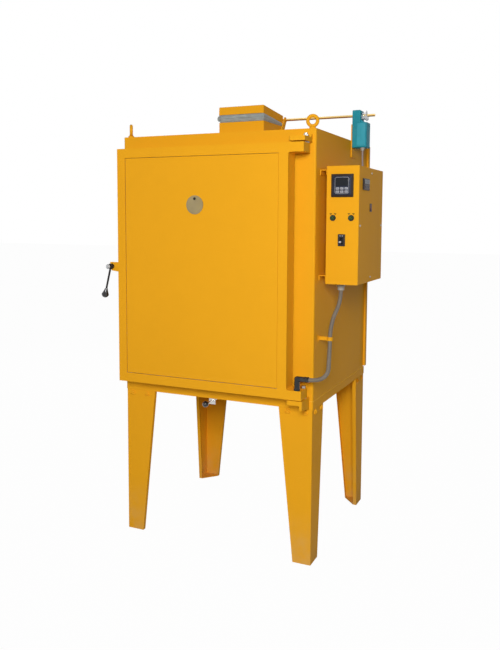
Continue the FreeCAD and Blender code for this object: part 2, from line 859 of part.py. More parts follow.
def lid_board():
    front = ROD_AXIS_Y - LID_SETBACK - LID_LEN
    rear = ROD_AXIS_Y - LID_SETBACK
    t = VENT_SHEET
    z0 = ROD_AXIS_Z - LID_H / 2
    z1 = ROD_AXIS_Z + LID_H / 2
    return tilt_lid(box(-VENT_X + t, VENT_X - t, front + t, rear - t, z0, z1 - t))


def vent_pad():
    """Thick fibre pad between the collar and the lid: thicker in front, rolled over at the left."""
    slope = math.tan(math.radians(LID_TILT))
    under = ROD_AXIS_Z - LID_H / 2 / math.cos(math.radians(LID_TILT))

    def lid_under(y):
        return under + (ROD_AXIS_Y - y) * slope - SLIP

    y0 = VENT_FRONT + 1
    y1 = VENT_REAR - PAD_BACK
    left = -VENT_X + PAD_ROLL
    wedge = prism([(left, y0, VENT_TOP), (left, y1, VENT_TOP), (left, y1, lid_under(y1)),
                   (left, y0, lid_under(y0))], X * (VENT_X - 1 - left))
    r0 = (lid_under(y0) - VENT_TOP) / 2
    r1 = (lid_under(y1) - VENT_TOP) / 2
    roll = Part.makeCone(r0, r1, y1 - y0, V(0, 0, 0), Y)
    lean = math.degrees(math.atan2(r0 - r1, y1 - y0))
    roll = roll.rotated(V(0, 0, 0), X, -lean)
    roll = roll.translated(V(left, y0, VENT_TOP + r0))
    keep = box(left - 2 * r0, left, y0, y1, VENT_TOP, lid_under(y0))
    bore = rod(FLUE_R, V(0, VENT_MID_Y, VENT_TOP), LID_H + ROD_RISE, Z)
    return join([wedge, roll.common(keep)]).cut(bore)


def vent_rod():
    """Rod that the lid is pinned to. It runs on through the actuator's clamp."""
    start = -VENT_X - LUG_GAP - LUG_T - ROD_START
    end = ACT_X + ACT_W + ROD_OVER
    return rod(VENT_ROD_R, V(start, ROD_AXIS_Y, ROD_AXIS_Z), end - start, X)


# Actuator beside the case

def actuator_body():
    """Cast housing, wide below and stepped in above, where the shaft clamp sits beside it."""
    y0 = ACT_FRONT
    y1 = ACT_FRONT + ACT_D
    top = ACT_Z + ACT_H
    step = ACT_Z + ACT_STEP
    lower = box(ACT_X, ACT_X + ACT_W, y0, y1, ACT_Z, step)
    lower = round_edges(lower, ACT_ROUND, lambda e: runs_along(e, Z) or e.BoundBox.ZMax < ACT_Z + 0.1)
    upper = box(ACT_X, ACT_X + ACT_NECK_W, y0, y1, step, top)
    upper = round_edges(upper, ACT_ROUND, lambda e: runs_along(e, Z) or e.BoundBox.ZMin > top - 0.1)
    neck = ACT_X + ACT_NECK_W
    inset = ACT_ROUND + 1
    seat = prism([(neck, y0 + inset, step), (ACT_X + ACT_W - inset, y0 + inset, step),
                  (neck, y0 + inset, step + 2 * inset)], Y * (ACT_D - 2 * inset))
    bore = rod(VENT_ROD_R + 2 * FIT, V(ACT_X, ROD_AXIS_Y, ROD_AXIS_Z), ACT_W, X)
    return join([lower, upper, seat]).cut(bore)


def shaft_clamp():
    """Saddle block and pointed V bolt that grip the vent rod beside the actuator's neck."""
    x0 = ACT_X + ACT_NECK_W + SLIP
    y, z = ROD_AXIS_Y, ROD_AXIS_Z
    r = CLAMP_HUB_R
    hub = rod(r, V(x0, y, z), 8, X)
    block = box(x0, x0 + CLAMP_W, y - r, y + r, z - r - 1, z - 2)
    bolt_x = x0 + CLAMP_W - 8
    foot = z - CLAMP_BOLT_DOWN
    peak = z + CLAMP_BOLT_UP
    near, far = y - CLAMP_BOLT_SPREAD, y + CLAMP_BOLT_SPREAD
    bolt = bar([(bolt_x, near, foot), (bolt_x, near, z), (bolt_x, y, peak),
                (bolt_x, far, z), (bolt_x, far, foot)], CLAMP_BOLT_R, CLAMP_BOLT_R + 1)
    nuts = [hexagon(3 * CLAMP_BOLT_R, V(bolt_x, end, foot), 4, Z) for end in (near, far)]
    return join([hub, block, bolt] + nuts).cut(rod(VENT_ROD_R + FIT, V(x0, y, z), CLAMP_W, X))


def actuator_bracket():
    """Flat plate on the side of the case that the actuator is screwed to."""
    y0 = ACT_FRONT + 4
    plate = box(R, ACT_X, y0, y0 + ACT_D - 8, ACT_Z - 45, ACT_Z + ACT_STEP - 6)
    return round_edges(plate, 6, lambda e: runs_along(e, X))


def gland(start, along, across, length, bore):
    """Hexagon body and round cap of a cable gland, along the way that the cable leaves."""
    body = hexagon(across, start, length * 0.5, along)
    cap = rod(across * 0.45, start, length, along)
    return join([body, cap]).cut(rod(bore + SLIP, start, length, along))


def route(points, radius):
    """Tube of straight runs, joined by arcs as large as their two runs allow."""
    corners = [V(*p) for p in points]
    edges = []
    bends = []
    start = corners[0]
    for before, here, after in zip(corners, corners[1:], corners[2:]):
        to_before = before - here
        to_after = after - here
        back = 0.45 * min(to_before.Length, to_after.Length)
        half = to_before.getAngle(to_after) / 2
        bend = back * math.tan(half)
        inward = (to_before.normalize() + to_after.normalize()).normalize()
        p = here + to_before * back
        q = here + to_after * back
        mid = here + inward * (bend / math.sin(half) - bend)
        edges += [Part.makeLine(start, p), Part.Arc(p, mid, q).toShape()]
        bends.append(round(bend))
        start = q
    edges.append(Part.makeLine(start, corners[-1]))
    spine = Part.Wire(edges)
    way = (corners[1] - corners[0]).normalize()
    section = Part.Wire([Part.makeCircle(radius, corners[0], way)])
    tube = spine.makePipeShell([section], True, False)
    share = tube.Volume / (math.pi * radius * radius * spine.Length)
    print("route", round(spine.Length), "mm, bends", bends, "volume share", round(share, 4))
    return tube


def cable_glands():
    """One under the actuator, one in the box's rear and one under the box."""
    return [gland(V(CABLE_X, CABLE_Y, ACT_Z), -Z, CABLE_ACROSS, CABLE_GLAND, CABLE_R),
            gland(V(CABLE_X, BOX_REAR, CABLE_LOW), Y, CABLE_ACROSS, CABLE_GLAND, CABLE_R),
            gland(V(BOX_GLAND_X, BOX_GLAND_Y, BOX_Z), -Z, BOX_GLAND_ACROSS, BOX_GLAND, CONDUIT_R)]


def actuator_cable():
    """Down behind the control box, then forward into its rear."""
    x, y = CABLE_X, CABLE_Y
    top = ACT_Z - CABLE_GLAND
    run = CABLE_RUN
    end = BOX_REAR + CABLE_GLAND
    bend_y = end + run * (1 + math.sqrt(3) / 2 + 0.5)
    bend_z = CABLE_LOW + run * (0.5 + math.sqrt(3) / 2)
    fall = top - bend_z
    return route([(x, y, top), (x, y, top - fall * 0.23), (x + 2, (y + bend_y) / 2, top - fall * 0.55),
                  (x + 1, bend_y + 1, top - fall * 0.78), (x, bend_y, bend_z),
                  (x, bend_y - run / 2, bend_z - run * math.sqrt(3) / 2),
                  (x, end + run, CABLE_LOW), (x, end, CABLE_LOW)], CABLE_R)


# Control box beside the case

def control_box():
    """Folded box, open at its right side."""
    t = BOX_SHEET
    outer = box(BOX_X, BOX_END, BOX_FRONT, BOX_REAR, BOX_Z, BOX_TOP)
    outer = round_edges(outer, 3, lambda e: runs_along(e, Z) and e.BoundBox.XMax < BOX_X + 1)
    inner = box(BOX_X + t, BOX_END, BOX_FRONT + t, BOX_REAR - t, BOX_Z + t, BOX_TOP - t)
    lips = [box(BOX_END - t, BOX_END, BOX_FRONT + t, BOX_FRONT + BOX_LIP, BOX_Z + t, BOX_TOP - t),
            box(BOX_END - t, BOX_END, BOX_REAR - BOX_LIP, BOX_REAR - t, BOX_Z + t, BOX_TOP - t)]
    x, z = CONTROLLER_X, CONTROLLER_TOP
    cuts = [box(x + 2, x + DIN - 2, BOX_FRONT, BOX_FRONT + t, z - DIN + 2, z - 2),
            box(BREAKER_X + 1, BREAKER_X + BREAKER_W - 1, BOX_FRONT, BOX_FRONT + t,
                BREAKER_TOP - BREAKER_H + 1, BREAKER_TOP - 1)]
    cuts += [rod(SELECTOR_R - 1 + SLIP, V(x, BOX_FRONT, SELECTOR_Z), t, Y) for x in selector_places()]
    cuts += [nipple_bore(), rod(CONDUIT_R, V(BOX_GLAND_X, BOX_GLAND_Y, BOX_Z), t, Z),
             rod(CABLE_R, V(CABLE_X, BOX_REAR, CABLE_LOW), t, -Y)]
    return join([outer.cut(inner)] + lips).cut(join(cuts))


def nipple_bore():
    start = V(HOT_X, NIPPLE_Y, NIPPLE_Z)
    return rod(NIPPLE_R, start, BOX_X + BOX_SHEET - HOT_X, X)


def power_nipple():
    """Short threaded pipe that takes the leads from the box into the case, with two lock nuts."""
    end_out = 2 * NIPPLE_NUT_H
    start = V(R - end_out, NIPPLE_Y, NIPPLE_Z)
    length = BOX_GAP + BOX_SHEET + 2 * end_out
    nuts = [hexagon(NIPPLE_NUT, V(x, NIPPLE_Y, NIPPLE_Z), NIPPLE_NUT_H, X)
            for x in (R, BOX_X - NIPPLE_NUT_H)]
    tube = join([rod(NIPPLE_R - SLIP, start, length, X)] + nuts)
    return tube.cut(rod(NIPPLE_BORE_R, start, length, X))


def box_rails():
    """Two channels that hold the box off the hot side of the case."""
    rails = []
    t = BOX_RAIL_SHEET
    for z in (BOX_Z + BOX_RAIL_IN, BOX_TOP - BOX_RAIL_IN - BOX_RAIL_H):
        channel = box(R, BOX_X, BOX_FRONT + 2 * t, BOX_REAR - 2 * t, z, z + BOX_RAIL_H)
        hollow = box(R + t, BOX_X - t, BOX_FRONT + 2 * t, BOX_REAR - 2 * t, z, z + BOX_RAIL_H - t)
        rails.append(channel.cut(hollow))
    return rails


def box_cover():
    cover = box(BOX_END, COVER_X, BOX_FRONT, BOX_REAR, BOX_Z, BOX_TOP)
    cover = round_edges(cover, 1.5, lambda e: e.BoundBox.XMin > COVER_X - 0.1)
    cuts = [box(BOX_END, COVER_X, LIMIT_Y + 2, LIMIT_Y + DIN - 2,
                LIMIT_TOP - LIMIT_H + 2, LIMIT_TOP - 2),
            box(BOX_END, COVER_X, ROCKER_Y + 2, ROCKER_Y + ROCKER_W - 2,
                ROCKER_Z + 2, ROCKER_Z + ROCKER_H - 2)]
    return cover.cut(join(cuts))


def box_cover_screws():
    """Pan heads at the middle of each edge of the cover."""
    mid_y = (BOX_FRONT + BOX_REAR) / 2
    mid_z = (BOX_Z + BOX_TOP) / 2
    places = [(BOX_FRONT + COVER_SCREW_IN, mid_z), (BOX_REAR - COVER_SCREW_IN, mid_z),
              (mid_y, BOX_TOP - COVER_SCREW_IN), (mid_y, BOX_Z + COVER_SCREW_IN)]
    return [rod(SCREW_R, V(COVER_X, y, z), SCREW_H, X) for y, z in places]


def controller():
    """Square temperature controller: a raised frame, and six flat keys on its face."""
    x, top, y = CONTROLLER_X, CONTROLLER_TOP, BOX_FRONT
    front = y - BEZEL_OUT
    face = front + BEZEL_SUNK
    bezel = box(x, x + DIN, front, y, top - DIN, top)
    bezel = round_edges(bezel, 3, lambda e: runs_along(e, Y) or e.BoundBox.YMax < front + 0.1)
    recess = box(x + BEZEL, x + DIN - BEZEL, front, face, top - DIN + BEZEL, top - BEZEL)
    body = box(x + 3, x + DIN - 3, y, LIMIT_Y, top - DIN + 3, top - 3)
    keys = []
    first_x = x + (DIN - 2 * KEY_STEP_X - KEY_W) / 2
    for k in range(6):
        key_x = first_x + k % 3 * KEY_STEP_X
        key_z = top - DIN + KEY_LOW + k // 3 * KEY_STEP_Z
        keys.append(box(key_x, key_x + KEY_W, face - 1, face, key_z, key_z + KEY_H))
    return join([bezel.cut(recess), body] + keys)


def selector_places():
    return [BOX_MID - SELECTOR_STEP / 2, BOX_MID + SELECTOR_STEP / 2]


def selector_bodies():
    """Threaded bodies and front rings of the two selector switches."""
    parts = []
    for x in selector_places():
        start = V(x, BOX_FRONT, SELECTOR_Z)
        ring = pipe(SELECTOR_R + 1.5, SELECTOR_R - 2, start - Y * SELECTOR_RING, SELECTOR_RING, Y)
        barrel = rod(SELECTOR_R - 1, start, SELECTOR_DEEP, Y)
        parts.append(join([ring, barrel]))
    return parts


def selector_knob(x):
    """Round knob with a grip across it, which points half way to the left at rest."""
    base = SELECTOR_R - 2 - SLIP
    y = BOX_FRONT - SLIP
    disc = rod(base, V(x, y, SELECTOR_Z), GRIP_OUT / 2, -Y)
    grip = box(x - GRIP_W / 2, x + GRIP_W / 2, y - GRIP_OUT, y - GRIP_OUT / 2,
               SELECTOR_Z - base, SELECTOR_Z + base)
    top = y - GRIP_OUT + 0.1
    grip = round_edges(grip, 1.2, lambda e: runs_along(e, Y) or e.BoundBox.YMax < top)
    return join([disc, grip]).rotated(V(x, 0, SELECTOR_Z), Y, -45)


def breaker_body():
    x, top = BREAKER_X, BREAKER_TOP
    y = BOX_FRONT
    front = box(x, x + BREAKER_W, y - BREAKER_OUT, y, top - BREAKER_H, top)
    front = round_edges(front, 1.5, lambda e: runs_along(e, Y))
    back = box(x + 2, x + BREAKER_W - 2, y, y + BREAKER_DEEP, top - BREAKER_H + 2, top - 2)
    slot = box(x + BREAKER_SIDE, x + BREAKER_W - BREAKER_SIDE, y - BREAKER_OUT, y + 10,
               top - BREAKER_H + 7, top - 15)
    return join([front, back]).cut(slot)


def breaker_toggle():
    """Lever that turns about X in the breaker's slot. It points down at rest."""
    x0 = BREAKER_X + BREAKER_SIDE + SLIP
    w = BREAKER_W - 2 * (BREAKER_SIDE + SLIP)
    hub = rod(TOGGLE_R, V(x0, TOGGLE_Y, TOGGLE_Z), w, X)
    tip = TOGGLE_Y - TOGGLE_LEN
    lever = prism([(x0, TOGGLE_Y, TOGGLE_Z - 4), (x0, tip, TOGGLE_Z - 2.6),
                   (x0, tip, TOGGLE_Z + 2.6), (x0, TOGGLE_Y, TOGGLE_Z + 4)], X * w)
    return join([hub, lever]).rotated(V(x0, TOGGLE_Y, TOGGLE_Z), X, TOGGLE_LOW)


def limit_controller():
    """Flat controller in the cover, wider than it is high."""
    x = COVER_X
    y0, y1 = LIMIT_Y, LIMIT_Y + DIN
    z0, z1 = LIMIT_TOP - LIMIT_H, LIMIT_TOP
    front = x + LIMIT_OUT
    bezel = box(x, front, y0, y1, z0, z1)
    bezel = round_edges(bezel, 2.5, lambda e: runs_along(e, X) or e.BoundBox.XMin > front - 0.1)
    recess = box(front - BEZEL_SUNK, front, y0 + BEZEL, y1 - BEZEL, z0 + BEZEL, z1 - BEZEL)
    body = box(x - LIMIT_DEEP, x, y0 + 3, y1 - 3, z0 + 3, z1 - 3)
    return join([bezel, body]).cut(recess)


def rocker_frame():
    x = COVER_X
    y0, y1 = ROCKER_Y, ROCKER_Y + ROCKER_W
    z0, z1 = ROCKER_Z, ROCKER_Z + ROCKER_H
    t = ROCKER_FRAME
    frame = box(x, x + 3, y0, y1, z0, z1)
    frame = round_edges(frame, 1.5, lambda e: runs_along(e, X))
    back = box(x - ROCKER_DEEP, x, y0 + 3, y1 - 3, z0 + 3, z1 - 3)
    well = box(x - 8, x + 3, y0 + t, y1 - t, z0 + t, z1 - t)
    return join([frame, back]).cut(well)


def rocker():
    """Switch cap that tips about a round rib along Y, with a hollow top. Its lower end is in at rest."""
    x = COVER_X
    y0 = ROCKER_Y + ROCKER_FRAME + SLIP
    width = ROCKER_W - 2 * (ROCKER_FRAME + SLIP)
    half = ROCKER_H / 2 - ROCKER_FRAME - 1
    mid = ROCKER_Z + ROCKER_H / 2
    top = x + 4.5
    cap = prism([(x - 1, y0, mid - 2), (top, y0, mid - half), (top - 1.5, y0, mid),
                 (top, y0, mid + half), (x - 1, y0, mid + 2)], Y * width)
    rib = rod(ROCKER_HUB_R, V(x - 1, y0, mid), width, Y)
    return join([cap, rib]).rotated(V(x - 1, y0, mid), Y, -ROCKER_TIP)


def contactors():
    """Two contactors and a row of terminals on the inner wall of the box."""
    x = BOX_X + BOX_SHEET
    y = BOX_FRONT + BOX_D * 0.35
    z = BOX_Z + BOX_H * 0.58
    parts = []
    for start in (y, y + CONTACTOR_STEP):
        end = start + CONTACTOR_W
        low = box(x, x + CONTACTOR_BASE, start, end, z, z + CONTACTOR_H)
        high = box(x + CONTACTOR_BASE, x + CONTACTOR_BASE + CONTACTOR_CROWN, start + CROWN_IN,
                   end - CROWN_IN, z + CROWN_LOW, z + CONTACTOR_H - CROWN_LOW)
        parts.append(join([low, high]))
    top = z - BLOCK_DROP
    low = top - BLOCK_H
    width = BLOCK_STEP * BLOCKS - (BLOCK_STEP - BLOCK_W)
    rail = box(x, x + BLOCK_RAIL_T, y, y + width, low + BLOCK_RAIL_IN, top - BLOCK_RAIL_IN)
    starts = [y + k * BLOCK_STEP for k in range(BLOCKS)]
    blocks = [box(x, x + BLOCK_REACH, start, start + BLOCK_W, low, top) for start in starts]
    return parts + [join([rail] + blocks)]


# Door

def door_frame():
    """Folded rim with a flange round the front, two solid hinge ears and the latch tab."""
    x0, x1, z0, z1 = DOOR_LEFT, DOOR_RIGHT, DOOR_BOTTOM, DOOR_TOP
    y0, y1, t = DOOR_FRONT, DOOR_BACK, DOOR_SHEET
    rim = box(x0, x1, y0, y1, z0, z1)
    rim = rim.cut(box(x0 + t, x1 - t, y0 + t, y1, z0 + t, z1 - t))
    rim = rim.cut(box(x0 + DOOR_RIM, x1 - DOOR_RIM, y0, y0 + t, z0 + DOOR_RIM, z1 - DOOR_RIM))
    ears = [box(x1 - t, EAR_END, y0, y1, low, low + EAR_H) for low in (z0, z1 - EAR_H)]
    frame = join([rim] + ears)
    notch = (z0 + EAR_H, z1 - EAR_H)
    frame = round_edges(frame, 8, lambda e: runs_along(e, Y) and abs(e.BoundBox.XMin - x1) < 0.1
                        and min(abs(e.BoundBox.ZMin - z) for z in notch) < 0.1)
    frame = round_edges(frame, 3, lambda e: runs_along(e, Z) and abs(e.BoundBox.XMin - EAR_END) < 0.1)
    return join([frame, latch_tab()]).cut(rod(PIN_R + FIT, V(PIN_X, PIN_Y, z0), z1 - z0, Z))


def door_panel():
    """Loose front panel inside the rim, with its edges folded back."""
    inset = DOOR_RIM + SEAM
    x0, x1 = DOOR_LEFT + inset, DOOR_RIGHT - inset
    z0, z1 = DOOR_BOTTOM + inset, DOOR_TOP - inset
    y0 = PANEL_Y
    t = PANEL_SHEET
    outer = box(x0, x1, y0, y0 + PANEL_FOLD, z0, z1)
    outer = round_edges(outer, 1.5, lambda e: e.BoundBox.YMax < y0 + 0.1)
    inner = box(x0 + t, x1 - t, y0 + t, y0 + PANEL_FOLD, z0 + t, z1 - t)
    return outer.cut(inner).cut(peep_bore(PEEP_TUBE_R + SLIP)).cut(peep_screw_bore())


def peep_bore(radius):
    start = DOOR_FRONT
    return rod(radius, V(PEEP_X, start, PEEP_Z), FRONT + PLUG_IN - start, Y)


def peep_screw_bore():
    return rod(PEEP_SCREW_R, V(PEEP_X, DOOR_FRONT, PEEP_PIVOT_Z), PEEP_SCREW_LEN, Y)


def quartered(slab):
    """The slab as four slabs, with the joints between them through the middle of the peephole."""
    bounds = slab.BoundBox
    sides = ((bounds.XMin, PEEP_X), (PEEP_X, bounds.XMax))
    levels = ((bounds.ZMin, PEEP_Z), (PEEP_Z, bounds.ZMax))
    return [slab.common(box(x0, x1, bounds.YMin, bounds.YMax, z0, z1))
            for x0, x1 in sides for z0, z1 in levels]


def door_board():
    """Boards inside the rim, cut back behind the front flange and round the panel's fold."""
    x0, x1, z0, z1 = DOOR_LEFT, DOOR_RIGHT, DOOR_BOTTOM, DOOR_TOP
    t = DOOR_SHEET
    y = PANEL_Y + PANEL_FOLD
    board = box(x0 + t, x1 - t, y, DOOR_BACK, z0 + t, z1 - t)
    board = board.cut(join([peep_bore(PEEP_TUBE_R), peep_screw_bore()] + door_tail_bores()))
    return quartered(board)


def door_tail_end():
    return DOOR_BACK - TERMINAL_OUT


def door_tail_bores():
    start = door_tail_end()
    return [rod(ELEMENT_R + SLIP, V(DOOR_X, start, z), DOOR_Y - start, Y)
            for z in (run_heights()[0], run_heights()[-1])]


def door_plug():
    """Hot face blocks that close the chamber's mouth."""
    half = CH - PLUG_CLEAR
    z0 = CHAMBER_Z + PLUG_CLEAR
    z1 = ROOF_Z - PLUG_CLEAR
    plug = box(-half, half, DOOR_BACK, FRONT + PLUG_IN, z0, z1)
    plug = round_edges(plug, 6, lambda e: e.BoundBox.YMin > FRONT + PLUG_IN - 0.1)
    face = FRONT + PLUG_IN
    grooves = [box(a0, a1, face - GROOVE_DEEP, face, low, high)
               for a0, a1, low, high in groove_rects(DOOR_X, -DOOR_X)]
    wells = tail_wells(DOOR_X, DOOR_Y, -Y)
    plug = plug.cut(join(grooves + wells + door_tail_bores() + [peep_bore(PEEP_TUBE_R)]))
    return quartered(plug)


def door_gasket():
    """Fibre rope of square section between the rim and the case, round the chamber's mouth."""
    t = DOOR_SHEET
    x1 = HOT_X + GASKET_W - GASKET_OVER
    x0 = -x1
    z0 = HOT_FLOOR - GASKET_W + GASKET_OVER
    z1 = HOT_ROOF + GASKET_W - GASKET_OVER
    y0, y1 = DOOR_BACK, FRONT
    outer = box(x0, x1, y0, y1, z0, z1)
    outer = round_edges(outer, GASKET_CORNER, lambda e: runs_along(e, Y))
    inner = box(x0 + GASKET_W, x1 - GASKET_W, y0, y1, z0 + GASKET_W, z1 - GASKET_W)
    return outer.cut(inner)


def peephole_tube():
    return pipe(PEEP_TUBE_R, PEEP_R, V(PEEP_X, PANEL_Y, PEEP_Z), FRONT + PLUG_IN - PANEL_Y, Y)


def peephole_screw():
    """Pivot screw of the cover, with a domed head."""
    y = PANEL_Y - 2 * SLIP - COVER_T
    head = rod(PEEP_HEAD_R, V(PEEP_X, y, PEEP_PIVOT_Z), PEEP_HEAD_H, -Y)
    head = round_edges(head, 2.5, lambda e: e.BoundBox.YMax < y - PEEP_HEAD_H + 0.1)
    return join([rod(PEEP_SCREW_R - FIT, V(PEEP_X, y, PEEP_PIVOT_Z), PEEP_SCREW_LEN, Y), head])


def peephole_cover():
    """Round cover that hangs from its screw over the peephole, dished inside its rim."""
    y = PANEL_Y - SLIP - COVER_T
    z = PEEP_PIVOT_Z - COVER_DROP
    dish = rod(COVER_R - COVER_RIM, V(PEEP_X, y, z), 1, Y)
    disc = rod(COVER_R, V(PEEP_X, y, z), COVER_T, Y).cut(dish)
    boss = rod(COVER_BOSS_R, V(PEEP_X, y, PEEP_PIVOT_Z), COVER_T, Y)
    return join([disc, boss]).cut(rod(PEEP_SCREW_R, V(PEEP_X, y, PEEP_PIVOT_Z), COVER_T, Y))


def conduit_elbow():
    """Right-angle connector that stands on the lower ear and points to the right."""
    foot = V(ELBOW_X, ELBOW_Y, ELBOW_Z - ELBOW_RISE)
    turn = foot + Z * ELBOW_RISE
    arm = ELBOW_OUT - FERRULE
    body = [rod(ELBOW_R - 1, foot, ELBOW_RISE, Z), Part.makeSphere(ELBOW_R - 1, turn),
            rod(ELBOW_R - 1, turn, arm, X)]
    nuts = [hexagon(2 * ELBOW_R - 1, foot, 9, Z), hexagon(2 * ELBOW_R - 4, turn + X * arm, FERRULE, X)]
    bore = rod(CONDUIT_R + SLIP, turn + X * (ELBOW_OUT - CONDUIT_IN), CONDUIT_IN, X)
    return join(body + nuts).cut(bore)


def conduit_route():
    """Points from inside the elbow to inside the box's gland, each given by how far it is on the way
    out from the door, back and up: first to the clip, then to the gland."""
    x, y, z = ELBOW_X + ELBOW_OUT, ELBOW_Y, ELBOW_Z
    back, up = CLIP_Y - y, CLIP_Z - z
    to_clip = ((0.33, 0, 0), (0.79, 0.12, 0.04), (1, 0.34, 0.16), (0.85, 0.6, 0.39), (0.68, 0.85, 0.57))
    points = [(x - CONDUIT_IN, y, z)]
    points += [(x + CONDUIT_OUT * a, y + back * b, z + up * c) for a, b, c in to_clip]
    clip_x = R + CLIP_OUT
    points.append((clip_x, CLIP_Y, z + up * 0.82))
    across, back, up = BOX_GLAND_X - clip_x, BOX_GLAND_Y - CLIP_Y, BOX_Z - BOX_GLAND + 8 - CLIP_Z
    to_gland = ((0, 0, 0.14), (0.2, 0.47, 0.43), (0.7, 0.8, 0.61), (1, 1, 0.82), (1, 1, 1))
    return points + [(clip_x + across * a, CLIP_Y + back * b, CLIP_Z + up * c) for a, b, c in to_gland]


def door_conduit():
    """From the elbow out past the hinge, back and up through the clip, and into the box."""
    return route(conduit_route(), CONDUIT_R)


def conduit_clip():
    """Round clip on a short post that holds the conduit off the side of the case."""
    half = CLIP_HALF
    ring = pipe(CONDUIT_R + 4, CONDUIT_R + SLIP, V(R + CLIP_OUT, CLIP_Y, CLIP_Z - half), 2 * half, Z)
    post = box(R, R + CLIP_OUT - CONDUIT_R - 1, CLIP_Y - 4, CLIP_Y + 4, CLIP_Z - half, CLIP_Z + half)
    base = box(R, R + 3, CLIP_Y - 14, CLIP_Y + 14, CLIP_Z - 12, CLIP_Z + 12)
    return join([ring, post, base])


# Door hinge

def hinge_bracket(top):
    """Thick plate with a rounded nose, and a gusset on its outer end that deepens to the rear."""
    x1 = EAR_END + BRACKET_OUT
    x0 = x1 - BRACKET_W
    low = DOOR_TOP + HINGE_GAP if top else DOOR_BOTTOM - HINGE_WASHER - BRACKET_T
    high = low + BRACKET_T
    plate = box(x0, x1, DOOR_FRONT, FRONT, low, high)
    plate = round_edges(plate, BRACKET_NOSE, lambda e: runs_along(e, Z) and e.BoundBox.XMax < x0 + 1
                        and e.BoundBox.YMax < DOOR_FRONT + 1)
    web_x = x1 - GUSSET_T
    if top:
        toe = PIN_Y + PIN_R + 5
        outline = [(web_x, FRONT, high), (web_x, FRONT, high + GUSSET_TOP),
                   (web_x, FRONT - 10, high + GUSSET_TOP), (web_x, toe, high)]
    else:
        outline = [(web_x, FRONT, low), (web_x, FRONT, low - GUSSET_LOW),
                   (web_x, DOOR_FRONT, low - GUSSET_LOW_TOE), (web_x, DOOR_FRONT, low)]
    gusset = prism(outline, X * GUSSET_T)
    nut_room = rod(PIN_NUT / 2 + 3, V(PIN_X, PIN_Y, low - PIN_NUT_H - 2), PIN_NUT_H + 2, Z)
    bore = rod(PIN_R + FIT, V(PIN_X, PIN_Y, low), BRACKET_T, Z)
    return join([plate, gusset]).cut(join([nut_room, bore]))


def hinge_pins():
    """Top pin with its nut above the bracket, and bottom bolt with its head above the lower ear."""
    top_z = DOOR_TOP + HINGE_GAP + BRACKET_T
    top_end = DOOR_TOP - EAR_H
    thread = PIN_NUT_H + 2
    top = join([rod(PIN_R, V(PIN_X, PIN_Y, top_end), top_z + thread + 4 - top_end, Z),
                hexagon(PIN_NUT, V(PIN_X, PIN_Y, top_z), PIN_NUT_H, Z)])
    low = DOOR_BOTTOM - HINGE_WASHER - BRACKET_T
    head_z = DOOR_BOTTOM + EAR_H + SLIP
    bottom = join([rod(PIN_R, V(PIN_X, PIN_Y, low - thread), head_z - low + thread, Z),
                   hexagon(PIN_NUT, V(PIN_X, PIN_Y, head_z), PIN_NUT_H, Z),
                   hexagon(PIN_NUT, V(PIN_X, PIN_Y, low - PIN_NUT_H), PIN_NUT_H, Z)])
    return [top, bottom]


def hinge_washers():
    """Thrust washer under the lower ear, and spacer over the upper one."""
    places = ((DOOR_BOTTOM - HINGE_WASHER, HINGE_WASHER), (DOOR_TOP + SLIP, HINGE_GAP - SLIP))
    return [pipe(PIN_R + 6, PIN_R + FIT, V(PIN_X, PIN_Y, z), thick, Z) for z, thick in places]


# Latch

def latch_tab():
    """Plate welded to the left edge of the door, with a bearing bush for the latch shaft."""
    y0 = DOOR_FRONT
    x0 = LATCH_X - LATCH_TAB_IN
    x1 = DOOR_LEFT + DOOR_SHEET
    z = LATCH_Z
    plate = prism([(x1, y0, z - 24), (x1, y0, z + 20), (x0, y0, z + 20), (x0, y0, z - 10),
                   (x0 + 12, y0, z - 20)], Y * LATCH_TAB)
    plate = round_edges(plate, 3, lambda e: runs_along(e, Y) and e.BoundBox.XMax < x0 + 1)
    bush = rod(BUSH_R, V(LATCH_X, y0, z), BUSH_LEN, Y)
    arm = box(LATCH_X, x1, y0, y0 + BUSH_LEN, z - 4, z + 4)
    return join([plate, bush, arm]).cut(rod(LATCH_SHAFT_R + FIT, V(LATCH_X, y0, z), BUSH_LEN, Y))


def lever_way():
    a = math.radians(LATCH_TILT)
    return V(-math.sin(a), 0, -math.cos(a))


def latch_lever():
    """Shaft with a hub and a bent-over bar in front, and a cam finger behind the keeper."""
    x, z = LATCH_X, LATCH_Z
    face = DOOR_FRONT - SLIP
    hub = rod(HUB_R, V(x, face, z), HUB_LEN, -Y)
    hub = round_edges(hub, 3, lambda e: e.BoundBox.YMax < face - HUB_LEN + 0.1)
    cam_y = KEEPER_Y + KEEPER_T + SLIP
    end = face - HUB_LEN - 12
    shaft = rod(LATCH_SHAFT_R, V(x, end, z), cam_y + CAM_T - end, Y)
    finger = box(x - 5, x + 5, cam_y, cam_y + CAM_T, z - CAM_REACH, z)
    finger = round_edges(finger, 4, lambda e: runs_along(e, Y) and e.BoundBox.ZMax < z - 1)
    bar_start = V(x, face - HUB_LEN / 2, z)
    lever = rod(LEVER_R, bar_start, LEVER_LEN - KNOB_LEN / 2, lever_way())
    return join([hub, shaft, finger, lever])


